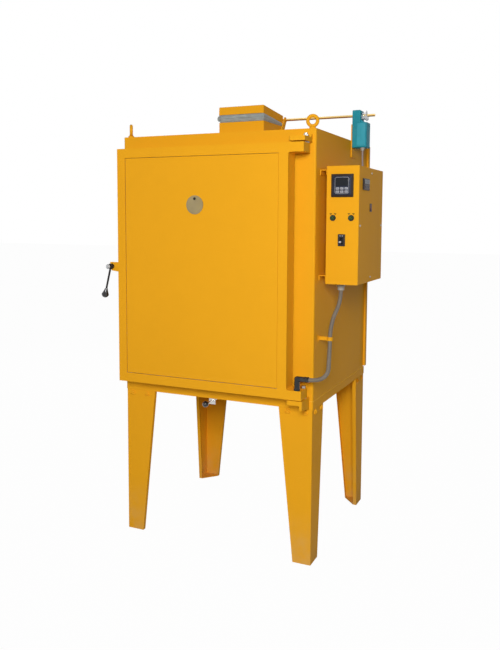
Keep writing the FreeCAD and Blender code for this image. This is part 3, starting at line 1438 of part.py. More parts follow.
def latch_knob():
    """Pear-shaped knob, turned about the lever's line."""
    waist = KNOB_LEN - KNOB_R
    slant = KNOB_R / math.sqrt(2)
    neck = Part.makeLine(V(0, 0, 0), V(KNOB_NECK, 0, 0))
    middle = V((KNOB_NECK + KNOB_R) / 2 - 1.5, 0, waist * 0.45)
    flank = Part.Arc(V(KNOB_NECK, 0, 0), middle, V(KNOB_R, 0, waist)).toShape()
    crown = Part.Arc(V(KNOB_R, 0, waist), V(slant, 0, waist + slant), V(0, 0, KNOB_LEN)).toShape()
    axis = Part.makeLine(V(0, 0, KNOB_LEN), V(0, 0, 0))
    knob = Part.Face(Part.Wire([neck, flank, crown, axis])).revolve(V(0, 0, 0), Z, 360)
    knob = knob.rotated(V(0, 0, 0), Y, 180 + LATCH_TILT)
    hub = V(LATCH_X, DOOR_FRONT - SLIP - HUB_LEN / 2, LATCH_Z)
    return knob.translated(hub + lever_way() * (LEVER_LEN - KNOB_LEN / 2))


def latch_keeper():
    """Catch plate on the left side of the case, in front of the cam finger."""
    low = LATCH_Z - CAM_REACH - 1
    high = LATCH_Z - 12
    catch = box(LATCH_X - 26, -R, KEEPER_Y, KEEPER_Y + KEEPER_T, low, high)
    catch = round_edges(catch, 4, lambda e: runs_along(e, Y) and e.BoundBox.XMax < LATCH_X)
    back = box(-R - 3, -R, KEEPER_Y, KEEPER_Y + 56, low - 8, high)
    return join([catch, back])


def keeper_screws():
    z = LATCH_Z - CAM_REACH / 2 - 10
    return [rod(SCREW_R, V(-R - 3, KEEPER_Y + d, z), SCREW_H, -X) for d in (32, 48)]


# Air inlet

def slide_guides():
    """Two folded rails under the tray that the inlet slide runs in."""
    rails = []
    y0 = INLET_Y - SLIDE_LEN / 2 - SLIDE_TRAVEL
    y1 = INLET_Y + SLIDE_LEN / 2 + 6
    low = SLIDE_Z - SLIP - GUIDE_LIP
    for side in (-1, 1):
        inner = INLET_X + side * (SLIDE_W / 2 + SLIP)
        web = box(*sorted((inner, inner + side * GUIDE_T)), y0, y1, low, LEG_H)
        shelf = box(*sorted((inner - side * GUIDE_UNDER, inner)), y0, y1, low, low + GUIDE_LIP)
        rails.append(join([web, shelf]))
    return rails


def inlet_slide():
    """Plate, pull rod and ball knob of the air inlet, pushed in and shut at rest."""
    y0 = INLET_Y - SLIDE_LEN / 2
    plate = box(INLET_X - SLIDE_W / 2, INLET_X + SLIDE_W / 2, y0, y0 + SLIDE_LEN, SLIDE_Z,
                SLIDE_Z + SLIDE_T)
    tab = box(INLET_X - 3 * PULL_R, INLET_X + 3 * PULL_R, y0, y0 + 4, PULL_Z - PULL_R - 2, SLIDE_Z)
    pull = rod(PULL_R, V(INLET_X, PULL_KNOB_Y, PULL_Z), y0 + 2 - PULL_KNOB_Y, Y)
    return join([plate, tab, pull])


def inlet_knob():
    ball = Part.makeSphere(PULL_KNOB_R, V(INLET_X, PULL_KNOB_Y, PULL_Z))
    collar = rod(PULL_KNOB_R / 2, V(INLET_X, PULL_KNOB_Y + 8, PULL_Z), PULL_KNOB_R - 5, Y)
    bore = rod(PULL_R + FIT, V(INLET_X, PULL_KNOB_Y, PULL_Z), 2 * PULL_KNOB_R, Y)
    return join([ball, collar]).cut(bore)


def pull_guide():
    """Small plate under the front edge of the tray that steadies the pull rod."""
    y, half = FRONT + PULL_GUIDE_BACK, 4 * PULL_R
    plate = box(INLET_X - half, INLET_X + half, y, y + GUIDE_T, PULL_Z - half, LEG_H)
    return plate.cut(rod(PULL_R + FIT, V(INLET_X, y, PULL_Z), GUIDE_T, Y))


# Lifting eyes

def eye_places():
    return [(s * (R - EYE_INSET), y) for y in (FRONT + EYE_INSET, REAR_SHEET - EYE_INSET)
            for s in (-1, 1)]


def eye_stud(x, y, clear=0):
    return rod(EYE_STUD_R + clear, V(x, y, TOP_Z - EYE_STUD_LEN), EYE_STUD_LEN, Z)


def lifting_eye(x, y, turn):
    """Eye bolt: an eight-sided bar bent to a ring, on a round collar and a stud."""
    a = EYE_BAR
    c = a * math.tan(math.radians(22.5))
    low = TOP_Z + EYE_COLLAR_H
    centre = V(x, y, low + EYE_R + a - EYE_SEAT)
    section = [(EYE_R + u, 0, v) for u, v in
               ((a, c), (c, a), (-c, a), (-a, c), (-a, -c), (-c, -a), (c, -a), (a, -c))]
    corners = [V(*p) for p in section]
    ring = Part.Face(Part.makePolygon(corners + corners[:1])).revolve(V(0, 0, 0), Z, 360)
    ring = ring.rotated(V(0, 0, 0), X, 90).translated(centre)
    collar = rod(EYE_COLLAR_R, V(x, y, TOP_Z), EYE_COLLAR_H, Z)
    eye = join([ring, collar, eye_stud(x, y)])
    return eye.rotated(V(x, y, 0), Z, turn)


def build():
    kiln = {}
    kiln["base_tray"] = [base_tray()]
    kiln["case_wrap"] = [case_wrap()]
    kiln["rear_panel"] = [rear_panel()]
    kiln["rear_cover"] = [rear_cover()]
    bolts = [corner for bolt in leg_bolts() for corner in four_corners(bolt)]
    kiln["case_screws"] = [*bolts, *rear_cover_screws(), *box_cover_screws(), *keeper_screws()]
    kiln["legs"] = four_corners(leg())

    kiln["lining_sides"] = both_sides(lining_side())
    kiln["lining_rear"] = [lining_rear()]
    kiln["lining_roof"] = [lining_roof()]
    kiln["lining_floor"] = [lining_floor()]
    kiln["backup_boards"] = backup_boards()
    kiln["wall_elements"] = both_sides(element_side()) + [element_cross(-REAR_X, REAR_Y, TAIL_END)]
    kiln["tail_porcelains"] = tail_porcelains()
    kiln["thermocouples"] = [thermocouple(-THERMOCOUPLE_X), thermocouple(THERMOCOUPLE_X)]
    kiln["hearth_plate"] = [hearth_plate()]
    kiln["hearth_posts"] = hearth_posts()

    kiln["lifting_eyes"] = [lifting_eye(x, y, turn) for (x, y), turn in zip(eye_places(), EYE_TURNS)]
    kiln["vent_collar"] = [vent_collar()]
    kiln["flue_tube"] = [flue_tube()]
    kiln["vent_pad"] = [vent_pad()]
    kiln["vent_lid"] = [vent_lid()]
    kiln["vent_lid_board"] = [lid_board()]
    kiln["vent_rod"] = [vent_rod()]
    kiln["shaft_clamp"] = [shaft_clamp()]
    kiln["actuator"] = [actuator_body()]
    kiln["side_brackets"] = box_rails() + [actuator_bracket(), conduit_clip()]
    kiln["cable_glands"] = cable_glands()
    kiln["actuator_cable"] = [actuator_cable()]

    kiln["control_box"] = [control_box()]
    kiln["control_box_cover"] = [box_cover()]
    kiln["power_nipple"] = [power_nipple()]
    kiln["switchgear"] = contactors()
    kiln["controller"] = [controller()]
    kiln["limit_controller"] = [limit_controller()]
    kiln["selector_bodies"] = selector_bodies()
    for name, x in zip(("left", "right"), selector_places()):
        kiln["selector_" + name] = [selector_knob(x)]
    kiln["breaker"] = [breaker_body()]
    kiln["breaker_toggle"] = [breaker_toggle()]
    kiln["rocker_frame"] = [rocker_frame()]
    kiln["rocker"] = [rocker()]

    kiln["door_frame"] = [door_frame()]
    kiln["door_panel"] = [door_panel()]
    kiln["door_board"] = door_board()
    kiln["door_plug"] = door_plug()
    kiln["door_gasket"] = [door_gasket()]
    kiln["element_door"] = [element_cross(DOOR_X, DOOR_Y, door_tail_end())]
    kiln["peephole_tube"] = [peephole_tube()]
    kiln["peephole_screw"] = [peephole_screw()]
    kiln["peephole_cover"] = [peephole_cover()]
    kiln["conduit_elbow"] = [conduit_elbow()]
    kiln["door_conduit"] = [door_conduit()]
    kiln["hinge_brackets"] = [hinge_bracket(True), hinge_bracket(False)]
    kiln["hinge_pins"] = [*hinge_pins(), *hinge_washers()]
    kiln["latch_lever"] = [latch_lever()]
    kiln["latch_knob"] = [latch_knob()]
    kiln["latch_keeper"] = [latch_keeper()]

    kiln["slide_guides"] = slide_guides() + [pull_guide()]
    kiln["inlet_slide"] = [inlet_slide()]
    kiln["inlet_knob"] = [inlet_knob()]
    write(kiln)


build()
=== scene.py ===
import bpy
import math
import numpy as np
from mathutils import Matrix, Vector


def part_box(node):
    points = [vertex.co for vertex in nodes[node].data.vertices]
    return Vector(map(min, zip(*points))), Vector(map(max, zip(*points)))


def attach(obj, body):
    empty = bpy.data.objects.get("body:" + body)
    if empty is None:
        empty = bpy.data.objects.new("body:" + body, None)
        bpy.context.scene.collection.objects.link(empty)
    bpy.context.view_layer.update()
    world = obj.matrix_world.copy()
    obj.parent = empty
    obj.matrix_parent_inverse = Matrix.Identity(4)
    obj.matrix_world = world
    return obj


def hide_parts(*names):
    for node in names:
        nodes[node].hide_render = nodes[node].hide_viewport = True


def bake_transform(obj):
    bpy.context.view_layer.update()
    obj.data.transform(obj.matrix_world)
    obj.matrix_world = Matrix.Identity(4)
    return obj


# Looks of the electric kiln. Metres, +Z up, +X to the right of someone facing the door.
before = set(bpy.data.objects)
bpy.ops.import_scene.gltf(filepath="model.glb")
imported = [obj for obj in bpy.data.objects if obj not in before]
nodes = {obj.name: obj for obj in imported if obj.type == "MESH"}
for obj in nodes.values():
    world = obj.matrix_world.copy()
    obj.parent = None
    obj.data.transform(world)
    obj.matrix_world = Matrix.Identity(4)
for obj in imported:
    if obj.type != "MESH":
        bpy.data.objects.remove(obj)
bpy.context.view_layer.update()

caseLow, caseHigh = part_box("case_wrap")
middleX = (caseLow.x + caseHigh.x) / 2      # middle of the case
middleY = (caseLow.y + caseHigh.y) / 2
frontY = caseLow.y                          # front sheet of the case
rightX = caseHigh.x                         # right sheet of the case
boxLow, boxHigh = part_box("control_box")
up = np.array([0, 0, 1.0])
print("frame loaded,", len(nodes), "nodes")


# camera: where the photograph was taken from

view = {"place": (1.4538, -2.8361, 1.5128), "yaw": 0.423, "pitch": -0.089, "roll": 0.005,
        "lens": 51.16, "shiftY": -0.0852}


def setCamera():
    # a camera looks down, so it is first turned to look level, then rolled, pitched and turned
    matrix = Matrix.Rotation(math.pi / 2, 4, "X")
    for angle, axis in ((-view["roll"], "Y"), (view["pitch"], "X"), (view["yaw"], "Z")):
        matrix = Matrix.Rotation(angle, 4, axis) @ matrix
    x, y, z = view["place"]
    matrix.translation = (middleX + x, frontY + y, z)
    data = bpy.data.cameras.new("photoCamera")
    data.sensor_fit = "HORIZONTAL"
    data.sensor_width = 36
    data.lens = view["lens"]
    data.shift_y = view["shiftY"]
    camera = bpy.data.objects.new("photoCamera", data)
    bpy.context.scene.collection.objects.link(camera)
    camera.matrix_world = matrix
    bpy.context.scene.camera = camera


setCamera()
print("camera set")


# meshes from arrays

def newMesh(name, verts, faces, smooth=True, uv=None):
    mesh = bpy.data.meshes.new(name)
    faces = faces if isinstance(faces, list) else faces.tolist()
    mesh.from_pydata(np.asarray(verts, float).reshape(-1, 3).tolist(), [], faces)
    mesh.update()
    if smooth:
        mesh.polygons.foreach_set("use_smooth", np.ones(len(mesh.polygons), bool))
    if uv is not None:
        layer = mesh.uv_layers.new(name="UVMap")
        loops = np.zeros(len(mesh.loops), int)
        mesh.loops.foreach_get("vertex_index", loops)
        layer.data.foreach_set("uv", np.asarray(uv, float).reshape(-1, 2)[loops].ravel())
    piece = bpy.data.objects.new(name, mesh)
    bpy.context.scene.collection.objects.link(piece)
    return piece


def gridFaces(rows, columns, closeRows=False, closeColumns=True):
    # quads between neighbouring points of a rows x columns grid
    i = np.arange(rows if closeRows else rows - 1)
    j = np.arange(columns if closeColumns else columns - 1)
    a, b = np.meshgrid(i, j, indexing="ij")
    c, d = (a + 1) % rows, (b + 1) % columns
    return np.stack([a * columns + b, a * columns + d, c * columns + d, c * columns + b], -1).reshape(-1, 4)


def gridPiece(name, grid, **closed):
    return newMesh(name, grid, gridFaces(*grid.shape[:2], **closed))


def unit(v):
    return v / np.linalg.norm(v, axis=-1, keepdims=True)


def fullTurn(steps):
    return np.linspace(0, 2 * np.pi, steps, endpoint=False)


def evenly(path, step):
    # the same line with points spaced evenly along it, and their distance along it
    gaps = np.linalg.norm(np.diff(path, axis=0), axis=1)
    along = np.concatenate([[0], np.cumsum(gaps)])
    wanted = np.linspace(0, along[-1], max(2, int(along[-1] / step) + 1))
    return np.stack([np.interp(wanted, along, path[:, k]) for k in range(3)], -1), wanted


def tubeAlong(name, path, radius, side, sides=16, closed=False):
    # ring of points round each point of the path: path + radius (cos a * across + sin a * over),
    # where across is the tangent crossed with a side direction that the path never runs along
    tangent = unit(np.roll(path, -1, 0) - np.roll(path, 1, 0) if closed else np.gradient(path, axis=0))
    across = unit(np.cross(tangent, side))
    over = np.cross(tangent, across)
    turn = fullTurn(sides)[None, :, None]
    size = np.broadcast_to(radius, (len(path),))[:, None, None]
    rings = path[:, None] + size * (np.cos(turn) * across[:, None] + np.sin(turn) * over[:, None])
    faces = gridFaces(len(path), sides, closed).tolist()
    if not closed:                                    # flat caps over both ends
        last = len(path) * sides
        faces += [list(range(sides))[::-1], list(range(last - sides, last))]
    return newMesh(name, rings, faces)


def chooseOnly(*pieces):
    bpy.ops.object.select_all(action="DESELECT")
    for piece in pieces:
        piece.select_set(True)
    bpy.context.view_layer.objects.active = pieces[0]


def joined(name, pieces):
    # several meshes as one piece
    chooseOnly(*pieces)
    bpy.ops.object.join()
    whole = bpy.context.view_layer.objects.active
    whole.name = name
    whole.data.name = name
    return whole


def faceOut(piece):
    chooseOnly(piece)
    bpy.ops.object.mode_set(mode="EDIT")
    bpy.ops.mesh.select_all(action="SELECT")
    bpy.ops.mesh.normals_make_consistent(inside=False)
    bpy.ops.object.mode_set(mode="OBJECT")
    return piece


def finished(piece, look, body, slot, *replaced):
    # gives a piece its finish and its body
    piece.data.materials.clear()
    piece.data.materials.append(finish[look])
    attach(piece, body)
    if replaced:
        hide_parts(*replaced)
    return piece


def routeLine(points):
    # the smooth line of a cable: a NURBS spline with the route as control points
    curve = bpy.data.curves.new("route", "CURVE")
    curve.dimensions = "3D"
    curve.resolution_u = 24
    spline = curve.splines.new("NURBS")
    spline.points.add(len(points) - 1)
    for control, point in zip(spline.points, points):
        control.co = (*point, 1)
    spline.order_u = 3
    spline.use_endpoint_u = True
    holder = bpy.data.objects.new("route", curve)
    mesh = bpy.data.meshes.new_from_object(holder)
    line = np.array([v.co for v in mesh.vertices])
    bpy.data.objects.remove(holder)
    bpy.data.meshes.remove(mesh)
    bpy.data.curves.remove(curve)
    return line


def islands(name):
    # vertices of each separate solid of a node, as arrays of points
    mesh = nodes[name].data
    points = np.zeros(len(mesh.vertices) * 3)
    mesh.vertices.foreach_get("co", points)
    points = points.reshape(-1, 3)
    same = np.unique(points.round(5), axis=0, return_inverse=True)[1].ravel()
    edges = np.zeros(len(mesh.edges) * 2, int)
    mesh.edges.foreach_get("vertices", edges)
    edges = same[edges.reshape(-1, 2)]
    label = np.arange(same.max() + 1)
    while True:                                       # lowest label spreads along the edges
        low = np.minimum(label[edges[:, 0]], label[edges[:, 1]])
        before = label.copy()
        np.minimum.at(label, edges[:, 0], low)
        np.minimum.at(label, edges[:, 1], low)
        label = label[label]
        if (label == before).all():
            break
    group = label[same]
    return [points[group == k] for k in np.unique(group)]


# shader nodes: a number or colour is set on a socket, and anything else is linked to it

groups = {}


def feed(tree, socket, value):
    if isinstance(value, (int, float)):
        socket.default_value = value
    elif isinstance(value, tuple):
        socket.default_value = (*value, 1) if len(value) < len(socket.default_value) else value
    elif value is not None:
        tree.links.new(value, socket)


def feedAll(tree, sockets, **values):
    for label, value in values.items():
        feed(tree, sockets[label], value)


def addNode(tree, kind, **values):
    # a value named like a socket goes to it, and the others are the node's own settings
    node = tree.nodes.new("ShaderNode" + kind)
    for label, value in values.items():
        if label in node.inputs:
            feed(tree, node.inputs[label], value)
        else:
            setattr(node, label, value)
    return node


def mathNode(tree, operation, a, b, clamp=False):
    node = addNode(tree, "Math", operation=operation, use_clamp=clamp)
    feed(tree, node.inputs[0], a)
    feed(tree, node.inputs[1], b)
    return node.outputs[0]


def times(tree, a, b):
    return mathNode(tree, "MULTIPLY", a, b)


def plus(tree, a, b):
    return mathNode(tree, "ADD", a, b)


def rangeNode(tree, value, low, high, toLow=0.0, toHigh=1.0):
    limits = {"From Min": low, "From Max": high, "To Min": toLow, "To Max": toHigh}
    return addNode(tree, "MapRange", Value=value, **limits).outputs["Result"]


def noiseNode(tree, vector, scale, detail=3.0, rough=0.55):
    node = addNode(tree, "TexNoise", Vector=vector, Scale=scale, Detail=detail, Roughness=rough)
    return node.outputs["Fac"]


def stretched(tree, vector, scale, turn=(0, 0, 0)):
    return addNode(tree, "Mapping", Vector=vector, Scale=scale, Rotation=turn).outputs["Vector"]


def mixColour(tree, share, first, second):
    node = addNode(tree, "Mix", data_type="RGBA")
    for index, value in ((0, share), (6, first), (7, second)):
        feed(tree, node.inputs[index], value)
    return node.outputs[2]


def newGroup(name, outputs, **inputs):
    # effect that several materials share: it takes a Vector and the given values
    tree = bpy.data.node_groups.new(name, "ShaderNodeTree")
    kinds = {"Vector": "NodeSocketVector", "Colour": "NodeSocketColor"}
    for label, value in {"Vector": None, **inputs}.items():
        kind = kinds.get(label, "NodeSocketFloat")
        socket = tree.interface.new_socket(name=label, in_out="INPUT", socket_type=kind)
        if value is not None:
            socket.default_value = value
    for label in outputs:
        kind = kinds.get(label, "NodeSocketFloat")
        tree.interface.new_socket(name=label, in_out="OUTPUT", socket_type=kind)
    groups[name] = tree
    return tree, tree.nodes.new("NodeGroupInput").outputs, tree.nodes.new("NodeGroupOutput").inputs


def makeToneGroup():
    # slow change of lightness over a surface, with finer mottling in it
    tree, start, end = newGroup("slowTone", ("Colour", "Mask"), Scale=3.0, Amount=0.1, Colour=None)
    slow = noiseNode(tree, start["Vector"], start["Scale"], 2.0)
    fine = noiseNode(tree, start["Vector"], times(tree, start["Scale"], 9.0), 4.0)
    mask = rangeNode(tree, plus(tree, times(tree, slow, 0.7), times(tree, fine, 0.3)), 0.35, 0.65, -1.0, 1.0)
    change = plus(tree, times(tree, mask, start["Amount"]), 1.0)
    scaled = addNode(tree, "VectorMath", operation="SCALE", Scale=change)
    tree.links.new(start["Colour"], scaled.inputs[0])
    feedAll(tree, end, Colour=scaled.outputs[0], Mask=mask)


def makePeelGroup():
    # height of sprayed paint or moulded grain: small soft pimples with a long wave under them
    tree, start, end = newGroup("finePeel", ("Height",), Scale=400.0, Wave=0.4)
    fine = noiseNode(tree, start["Vector"], start["Scale"], 1.5)
    wave = noiseNode(tree, start["Vector"], times(tree, start["Scale"], 0.04), 1.0)
    feedAll(tree, end, Height=plus(tree, fine, times(tree, wave, start["Wave"])))


def makeScuffGroup():
    # fine scuffs: thin bright lines of a strongly stretched noise, only in patches
    tree, start, end = newGroup("fineScuffs", ("Mask",), Scale=30.0, Cover=0.5)
    lines = []
    for turn in (0.4, 1.9):
        run = stretched(tree, start["Vector"], (1, 1, 14), (0.5, turn, 0.3))
        lines.append(rangeNode(tree, noiseNode(tree, run, start["Scale"], 4.0, 0.7), 0.63, 0.68))
    patch = rangeNode(tree, noiseNode(tree, start["Vector"], 2.5), 0.5, 0.62)
    both = times(tree, mathNode(tree, "MAXIMUM", *lines), patch)
    feedAll(tree, end, Mask=mathNode(tree, "MULTIPLY", both, start["Cover"], True))


def makeDustGroup():
    # dust that settles low down: strongest at the floor and gone by the given height, broken by noise
    tree, start, end = newGroup("lowDust", ("Mask",), Top=0.3)
    height = addNode(tree, "SeparateXYZ", Vector=start["Vector"]).outputs["Z"]
    share = mathNode(tree, "SUBTRACT", 1.0, mathNode(tree, "DIVIDE", height, start["Top"]), True)
    broken = rangeNode(tree, noiseNode(tree, start["Vector"], 14.0, 5.0), 0.3, 0.7)
    feedAll(tree, end, Mask=times(tree, mathNode(tree, "POWER", share, 1.6), broken))


def makeBrickGroup():
    # bond of large bricks: mask of the joints, a tone for each brick and the height of the face
    tree, start, end = newGroup("brickBond", ("Joint", "Tone", "Height"), Length=0.23, Height=0.1367)
    sizes = {"Mortar Size": 0.0011, "Mortar Smooth": 0.35, "Brick Width": start["Length"],
             "Row Height": start["Height"]}
    bond = addNode(tree, "TexBrick", offset=0.5, Scale=1.0, Color1=(0, 0, 0), Color2=(1, 1, 1),
                   Vector=start["Vector"], **sizes).outputs
    pores = addNode(tree, "TexVoronoi", Scale=420.0, Vector=start["Vector"])
    pits = rangeNode(tree, pores.outputs["Distance"], 0.12, 0.4)
    height = mathNode(tree, "SUBTRACT", times(tree, pits, 0.35), bond["Fac"])
    feedAll(tree, end, Joint=bond["Fac"], Tone=bond["Color"], Height=height)


def makeFibreGroup():
    # matted fibres: the mean of long thin noise in three directions; its mask is low in the hollows between
    # the strands, where makeFibre paints painted shade
    tree, start, end = newGroup("mattedFibre", ("Height", "Mask"), Scale=60.0)
    strands = []
    for turn in ((0, 0, 0.3), (0.9, 0.2, 1.4), (1.8, 1.1, 2.6)):
        run = stretched(tree, start["Vector"], (1, 7, 7), turn)
        strands.append(noiseNode(tree, run, start["Scale"], 3.0, 0.65))
    total = plus(tree, plus(tree, strands[0], strands[1]), strands[2])
    mean = mathNode(tree, "DIVIDE", total, 3.0)
    feedAll(tree, end, Height=mean, Mask=rangeNode(tree, mean, 0.4, 0.6))


def makeWeaveGroup():
    # braid: two sets of bands that cross on the slant, each raised where the other dips
    tree, start, end = newGroup("slantBraid", ("Height",), Scale=60.0)
    bands = []
    for turn in (0.785, -0.785):
        run = stretched(tree, start["Vector"], (1, 1, 1), (0, 0, turn))
        wave = addNode(tree, "TexWave", wave_type="BANDS", bands_direction="X", Distortion=0.4,
                       Vector=run, Scale=start["Scale"])
        bands.append(wave.outputs["Fac"])
    feedAll(tree, end, Height=mathNode(tree, "MAXIMUM", *bands))


def makeBrushGroup():
    # rolling lines of bare sheet and drawn rod: noise that is long in one direction
    tree, start, end = newGroup("drawnLines", ("Mask", "Height"), Scale=40.0)
    lines = noiseNode(tree, stretched(tree, start["Vector"], (0.06, 1, 1)), start["Scale"], 6.0, 0.7)
    feedAll(tree, end, Mask=rangeNode(tree, lines, 0.35, 0.65), Height=lines)


for makeGroup in (makeToneGroup, makePeelGroup, makeScuffGroup, makeDustGroup, makeBrickGroup, makeFibreGroup,
                  makeWeaveGroup, makeBrushGroup):
    makeGroup()
print("node groups built:", len(groups))


# materials

def startMaterial(name, coordinates="Object"):
    material = bpy.data.materials.new(name)
    material.use_nodes = True
    tree = material.node_tree
    return material, tree, addNode(tree, "TexCoord").outputs[coordinates]


def useGroup(tree, name, place, **values):
    node = addNode(tree, "Group", node_tree=groups[name])
    feedAll(tree, node.inputs, Vector=place, **values)
    return node.outputs


def dress(material, base, rough, bump=None, **values):
    # base colour, roughness, a bump of height, distance and strength, and other sockets by name
    tree = material.node_tree
    sockets = tree.nodes["Principled BSDF"].inputs
    feedAll(tree, sockets, **{"Base Color": base, "Roughness": rough}, **values)
    if bump:
        height, distance, strength = bump
        node = addNode(tree, "Bump", Height=height, Distance=distance, Strength=strength)
        tree.links.new(node.outputs["Normal"], sockets["Normal"])
    return material


def makePaint(name, colour, rough=0.45):
    # powder coat: slow tone, fine orange peel, a few scuffs, some dust near the floor
    material, tree, place = startMaterial(name)
    tone = useGroup(tree, "slowTone", place, Scale=1.6, Amount=0.02, Colour=colour)["Colour"]
    scuffs = useGroup(tree, "fineScuffs", place, Scale=22.0, Cover=0.35)["Mask"]
    dust = useGroup(tree, "lowDust", place, Top=0.28)["Mask"]
    peel = useGroup(tree, "finePeel", place, Scale=520.0, Wave=0.5)["Height"]
    paler = mixColour(tree, scuffs, tone, tuple(min(1, c * 1.12 + 0.02) for c in colour))
    base = mixColour(tree, times(tree, dust, 0.35), paler, (0.52, 0.42, 0.26))
    worn = rangeNode(tree, mathNode(tree, "MAXIMUM", scuffs, dust), 0, 1, rough, rough + 0.25)
    return dress(material, base, worn, (peel, 0.00022, 0.55), **{"Specular IOR Level": 0.02})


def makeMetal(name, colour, rough, scale=60.0):
    # bare or plated metal: drawn lines in the roughness, a little stain
    material, tree, place = startMaterial(name)
    drawn = useGroup(tree, "drawnLines", place, Scale=scale)
    tone = useGroup(tree, "slowTone", place, Scale=7.0, Amount=0.12, Colour=colour)["Colour"]
    spots = rangeNode(tree, noiseNode(tree, place, 38.0, 6.0, 0.7), 0.62, 0.75)
    base = mixColour(tree, times(tree, spots, 0.35), tone, (0.2, 0.17, 0.13))
    sheen = rangeNode(tree, drawn["Mask"], 0, 1, rough - 0.07, rough + 0.1)
    return dress(material, base, sheen, (drawn["Height"], 0.00008, 0.6), Metallic=1.0)


def makePlastic(name, colour, rough=0.35, grain=900.0, depth=0.00012, coat=0.0):
    # moulded plastic: even grain, faint flow tone, polish worn into it in patches
    material, tree, place = startMaterial(name)
    tone = useGroup(tree, "slowTone", place, Scale=18.0, Amount=0.10, Colour=colour)
    peel = useGroup(tree, "finePeel", place, Scale=grain, Wave=0.1)["Height"]
    dust = rangeNode(tree, noiseNode(tree, place, 26.0, 5.0, 0.6), 0.55, 0.8)
    base = mixColour(tree, times(tree, dust, 0.10), tone["Colour"], (0.4, 0.38, 0.34))
    worn = rangeNode(tree, tone["Mask"], -1, 1, rough - 0.05, rough + 0.07)
    gloss = {"Coat Weight": coat, "Coat Roughness": 0.08, "Specular IOR Level": 0.12}
    return dress(material, base, worn, (peel, depth, 0.5), **gloss)


def makeBrick(name, axes, colour=(0.80, 0.70, 0.50)):
    # soft brick: bond of the joints laid along two axes of the wall, pores, a heat-browned tint
    material, tree, place = startMaterial(name)
    apart = addNode(tree, "SeparateXYZ", Vector=place).outputs
    laid = {target: plus(tree, apart[axis], shift) for target, (axis, shift) in zip("XY", axes)}
    flat = addNode(tree, "CombineXYZ", **laid).outputs[0]
    bricks = useGroup(tree, "brickBond", flat, Length=0.23, Height=0.82 / 6)
    tone = useGroup(tree, "slowTone", place, Scale=5.0, Amount=0.07, Colour=colour)["Colour"]
    varied = mixColour(tree, times(tree, bricks["Tone"], 0.35), tone, (0.72, 0.60, 0.42))
    burnt = rangeNode(tree, noiseNode(tree, place, 9.0, 6.0, 0.65), 0.52, 0.8)
    warm = mixColour(tree, times(tree, burnt, 0.4), varied, (0.56, 0.42, 0.27))
    base = mixColour(tree, times(tree, bricks["Joint"], 0.7), warm, (0.30, 0.24, 0.17))
    return dress(material, base, 0.92, (bricks["Height"], 0.0011, 0.8))


def makeFibre(name, colour, scale=60.0, depth=0.0012, dark=0.6):
    # felted ceramic fibre or board: matted strands, no gloss
    material, tree, place = startMaterial(name)
    feltAndPaintedShade = useGroup(tree, "mattedFibre", place, Scale=scale)
    tone = useGroup(tree, "slowTone", place, Scale=9.0, Amount=0.10, Colour=colour)["Colour"]
    # painted shade: the low strands take the darker colour
    base = mixColour(tree, feltAndPaintedShade["Mask"], tuple(c * dark for c in colour), tone)
    return dress(material, base, 0.96, (feltAndPaintedShade["Height"], depth, 0.9), **{"Sheen Weight": 0.25})


def makeBraid(name, colour):
    # braided rope, by its own map: across and along the rope in metres
    material, tree, place = startMaterial(name, "UV")
    braid = useGroup(tree, "slantBraid", place, Scale=45.0)["Height"]
    # painted shade: the braid's dips are painted darker than its crests
    wovenWithPaintedShade = mixColour(tree, braid, tuple(c * 0.45 for c in colour), colour)
    base = useGroup(tree, "slowTone", place, Scale=6.0, Amount=0.14, Colour=wovenWithPaintedShade)["Colour"]
    return dress(material, base, 0.95, (braid, 0.0016, 0.9), **{"Sheen Weight": 0.3})


def makeWire(name):
    # heating wire: oxide scale, grey with a brown bloom
    material, tree, place = startMaterial(name)
    bloom = rangeNode(tree, noiseNode(tree, place, 45.0, 6.0, 0.7), 0.4, 0.7)
    peel = useGroup(tree, "finePeel", place, Scale=1500.0, Wave=0.2)["Height"]
    base = mixColour(tree, bloom, (0.16, 0.15, 0.145), (0.26, 0.19, 0.14))
    return dress(material, base, rangeNode(tree, bloom, 0, 1, 0.55, 0.8), (peel, 0.0001, 0.7), Metallic=0.35)


def makeCover(name):
    # heat-dulled cover disc: khaki with a brown bloom
    material, tree, place = startMaterial(name)
    tone = useGroup(tree, "slowTone", place, Scale=20.0, Amount=0.10, Colour=(0.30, 0.235, 0.115))["Colour"]
    bloom = rangeNode(tree, noiseNode(tree, place, 30.0, 5.0, 0.6), 0.45, 0.75)
    peel = useGroup(tree, "finePeel", place, Scale=600.0, Wave=0.4)["Height"]
    base = mixColour(tree, times(tree, bloom, 0.4), tone, (0.36, 0.26, 0.10))
    return dress(material, base, rangeNode(tree, bloom, 0, 1, 0.42, 0.6), (peel, 0.00015, 0.6), Metallic=0.25)


def makeGlass(name, colour):
    # dark display window over black, with faint smears
    material, tree, place = startMaterial(name)
    smear = rangeNode(tree, noiseNode(tree, place, 70.0, 4.0, 0.6), 0.4, 0.7)
    base = mixColour(tree, times(tree, smear, 0.2), colour, tuple(c * 1.8 + 0.01 for c in colour))
    return dress(material, base, rangeNode(tree, smear, 0, 1, 0.12, 0.24), **{"Specular IOR Level": 0.15})


